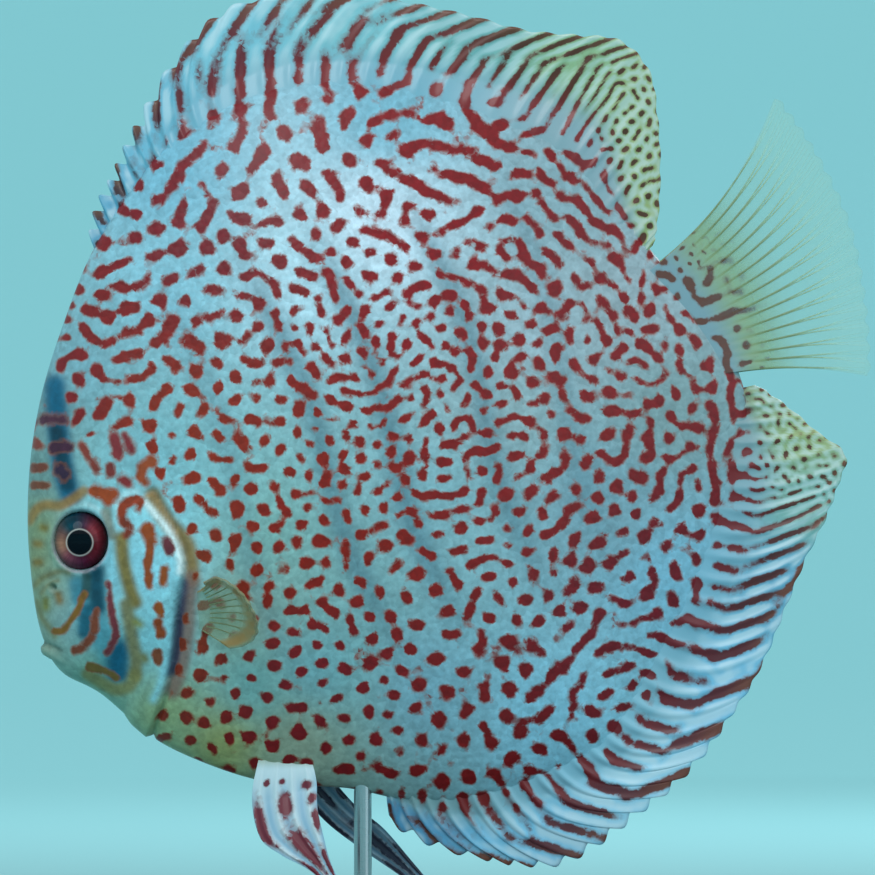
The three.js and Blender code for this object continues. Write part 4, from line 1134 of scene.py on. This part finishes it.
rod_tree = bpy.data.node_groups.new("tapered_rods", "GeometryNodeTree")
for name, way, kind in (
    ("Lines", "INPUT", "Geometry"),
    ("Rod radius", "INPUT", "Float"),
    ("Rod sides", "INPUT", "Int"),
    ("Rods", "OUTPUT", "Geometry"),
):
    rod_tree.interface.new_socket(name, in_out=way, socket_type="NodeSocket" + kind)
enter = add_node(rod_tree, "NodeGroupInput").outputs
one_number = {"data_type": "FLOAT"}
taper = add_node(rod_tree, "GeometryNodeInputNamedAttribute", one_number, Name="taper").outputs[0]
times = {"operation": "MULTIPLY"}
radius = add_node(rod_tree, "ShaderNodeMath", times, _0=taper, _1=enter["Rod radius"]).outputs[0]
curves = add_node(rod_tree, "GeometryNodeMeshToCurve", Mesh=enter["Lines"]).outputs[0]
circle = add_node(rod_tree, "GeometryNodeCurvePrimitiveCircle", Resolution=enter["Rod sides"], Radius=1.0)
ends = {"_0": curves, "_1": circle.outputs[0], "_2": radius, "_3": True}
rods = add_node(rod_tree, "GeometryNodeCurveToMesh", **ends).outputs[0]
rods = add_node(rod_tree, "GeometryNodeRealizeInstances", Geometry=rods).outputs[0]
rods = add_node(rod_tree, "GeometryNodeSetMaterial", Geometry=rods, Material=ray_look).outputs[0]
add_node(rod_tree, "NodeGroupOutput", Rods=rods)
rod_inputs = {item.name: item.identifier for item in rod_tree.interface.items_tree}

# Where a ray forks and its twigs part, as shares of its length, and how wide, as shares of the space it has
FORK_AT = 0.42
FORK_WIDE = 0.24
TWIG_AT = 0.68
TWIG_WIDE = 0.13


def branched_rays(place, count, rows, first):
    """Lines of rays along a fin: points, edges, taper, and how far along the fin each point is."""
    points, edges, taper, along = [], [], [], []
    for k in range(count + 1):
        middle = k / count
        for fork in (-1, 1):
            for twig in (-1, 1):
                v = np.linspace(first, 0.965, rows)
                shift = fork * FORK_WIDE * ease(v, FORK_AT, 1) + twig * TWIG_WIDE * ease(v, TWIG_AT, 1)
                u = np.clip(middle + shift / count, 0.004, 0.996)
                start = len(points)
                points.extend(place(u, v, np.ones(rows)))
                edges.extend((start + j, start + j + 1) for j in range(rows - 1))
                taper.extend(0.25 + 0.75 * (1 - v) ** 1.2)
                along.extend(v)
    return np.array(points), np.array(edges), np.array(taper), np.array(along)


def ray_piece(name, lines, radius_mm, colours, solid):
    points, edges, taper, along = lines
    mesh = bpy.data.meshes.new(name + "_lines")
    mesh.from_pydata(posed(points).tolist(), edges.tolist(), [])
    lines = add_object(name + "_lines", mesh)
    root, edge = linear(colours[0]), linear(colours[1])
    colour = root + (edge - root) * ease(along, 0.2, 0.9)[:, None]
    keep_values(lines, taper=taper, ground=colour, solid=1 - (1 - solid) * ease(along, 0.3, 0.95))
    rodded = lines.modifiers.new("rods", "NODES")
    rodded.node_group = rod_tree
    rodded[rod_inputs["Rod radius"]] = radius_mm / 1000
    rodded[rod_inputs["Rod sides"]] = 6
    plain = bpy.data.meshes.new_from_object(lines.evaluated_get(bpy.context.evaluated_depsgraph_get()))
    bpy.data.objects.remove(lines)
    plain.name = name
    plain.polygons.foreach_set("use_smooth", [True] * len(plain.polygons))
    piece = add_object(name, plain)
    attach(piece, "root")


lines = branched_rays(caudal_place, CAUDAL_RAYS, 40, 0.1)
ray_piece("caudal_rays", lines, 0.34, ("#B2B884", "#CCE2C4"), 0.06)
for side, name in ((-1, "left"), (1, "right")):
    lines = branched_rays(pectoral_place(side), PECTORAL_RAYS, 26, 0.14)
    ray_piece("pectoral_rays_" + name, lines, 0.16, ("#C6C28A", "#C8B070"), 0.2)

# Stand
# A flat base of black-lacquered wood with softened edges and one brushed steel rod, screwed in through a
# collar. The rod runs up between the belly fins into the fish.

# Black lacquer over wood: nearly black, with a faint long grain and a soft broad sheen
base_look, tree, shader = new_material("black_lacquered_wood")
place = add_node(tree, "ShaderNodeTexCoord").outputs["Object"]
stretched = add_node(tree, "ShaderNodeMapping", Vector=place, Scale=(60.0, 900.0, 900.0)).outputs[0]
grain = add_node(tree, "ShaderNodeTexNoise", Vector=stretched, Scale=1.0, Detail=4.0).outputs["Fac"]
dark, light = colour_input("#1B1A1B"), colour_input("#2A2726")
tone = add_node(tree, "ShaderNodeMix", {"data_type": "RGBA"}, _0=grain, _6=dark, _7=light).outputs[2]
tree.links.new(tone, shader.inputs["Base Color"])
bump = add_node(tree, "ShaderNodeBump", Strength=0.15, Distance=0.0002, Height=grain)
tree.links.new(bump.outputs["Normal"], shader.inputs["Normal"])
set_inputs(shader, {"Roughness": 0.35, "Coat Weight": 0.5, "Coat Roughness": 0.15})
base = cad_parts["stand_base"]
base.data.materials.clear()
base.data.materials.append(base_look)

# Brushed steel: fine rings round the rod spread its highlights
rod_look, tree, shader = new_material("brushed_steel")
place = add_node(tree, "ShaderNodeTexCoord").outputs["Object"]
rings = add_node(tree, "ShaderNodeMapping", Vector=place, Scale=(300.0, 300.0, 9000.0)).outputs[0]
lines = add_node(tree, "ShaderNodeTexNoise", Vector=rings, Scale=1.0, Detail=2.0).outputs["Fac"]
rough = add_node(tree, "ShaderNodeMapRange", _0=lines, _3=0.22, _4=0.38).outputs[0]
tree.links.new(rough, shader.inputs["Roughness"])
set_inputs(shader, {"Base Color": colour_input("#B9BCBF"), "Metallic": 1.0})
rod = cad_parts["stand_rod"]
rod.data.materials.clear()
rod.data.materials.append(rod_look)

# Studio
# A pale round floor that curves up into a wall far off on every side, so that no edge shows from anywhere.

# Matt paper, paler away from the fish, so that the lamps near it don't show as a bright pool
floor_look, tree, shader = new_material("studio_paper")
place = add_node(tree, "ShaderNodeTexCoord").outputs["Object"]
away = add_node(tree, "ShaderNodeVectorMath", {"operation": "LENGTH"}, _0=place).outputs["Value"]
shade = add_node(tree, "ShaderNodeMapRange", _0=away, _1=0.4, _2=1.5, _3=0.5, _4=1.0).outputs[0]
paper = add_node(tree, "ShaderNodeRGB").outputs[0]
paper.default_value = colour_input("#9CE0E6")
toned = add_node(tree, "ShaderNodeVectorMath", {"operation": "SCALE"}, _0=paper, Scale=shade).outputs[0]
tree.links.new(toned, shader.inputs["Base Color"])
set_inputs(shader, {"Roughness": 0.9})
FLOOR_FLAT = 2.9
FLOOR_BEND = 4.0
WALL_LEAN = math.radians(60)
profile = [(0.0, 0.0), (FLOOR_FLAT, 0.0)]
for step in range(1, 25):
    bend = WALL_LEAN * step / 24
    profile.append((FLOOR_FLAT + FLOOR_BEND * math.sin(bend), FLOOR_BEND * (1 - math.cos(bend))))
points, faces = turned(profile, 96, closed=False)
studio = mesh_object("studio_floor", points, faces, floor_look)

world = bpy.data.worlds.new("studio_air")
world.use_nodes = True
set_inputs(world.node_tree.nodes["Background"], {"Color": colour_input("#DCEBEE"), "Strength": 0.95})
bpy.context.scene.world = world


def softbox(name, place, aim, size, watts, tint):
    light = bpy.data.lights.new(name, "AREA")
    light.shape = "DISK"
    light.size = size
    light.energy = watts
    light.color = linear(tint)
    lamp = add_object(name, light)
    lamp.location = place
    direction = np.array(aim) - np.array(place)
    flat = math.hypot(direction[0], direction[1])
    lamp.rotation_euler = (math.atan2(flat, -direction[2]), 0, math.atan2(-direction[0], direction[1]))


TARGET = (0.0, 0.0, 0.1)
softbox("key_softbox", (-0.35, -0.9, 0.95), TARGET, 0.7, 4.5, "#FFFFFF")
softbox("fill_softbox", (0.9, -0.9, 0.35), TARGET, 0.9, 2, "#EAF6FF")
softbox("back_softbox", (0.3, 0.9, 0.7), TARGET, 0.6, 5, "#F4FBFF")

# Camera
# Level with the middle of the photo's frame and square to the left flank, far enough back for a flat view.
FRAME_WIDTH = 0.1575
CAMERA_AWAY = 2.6
camera = bpy.data.cameras.new("camera")
camera.sensor_width = 36
camera.lens = camera.sensor_width * CAMERA_AWAY / FRAME_WIDTH
view = add_object("camera", camera)
view.location = (-0.00216, -CAMERA_AWAY, 0.09545)
view.rotation_euler = (math.pi / 2, 0, 0)
bpy.context.scene.camera = view
bpy.context.scene.view_settings.view_transform = "Standard"
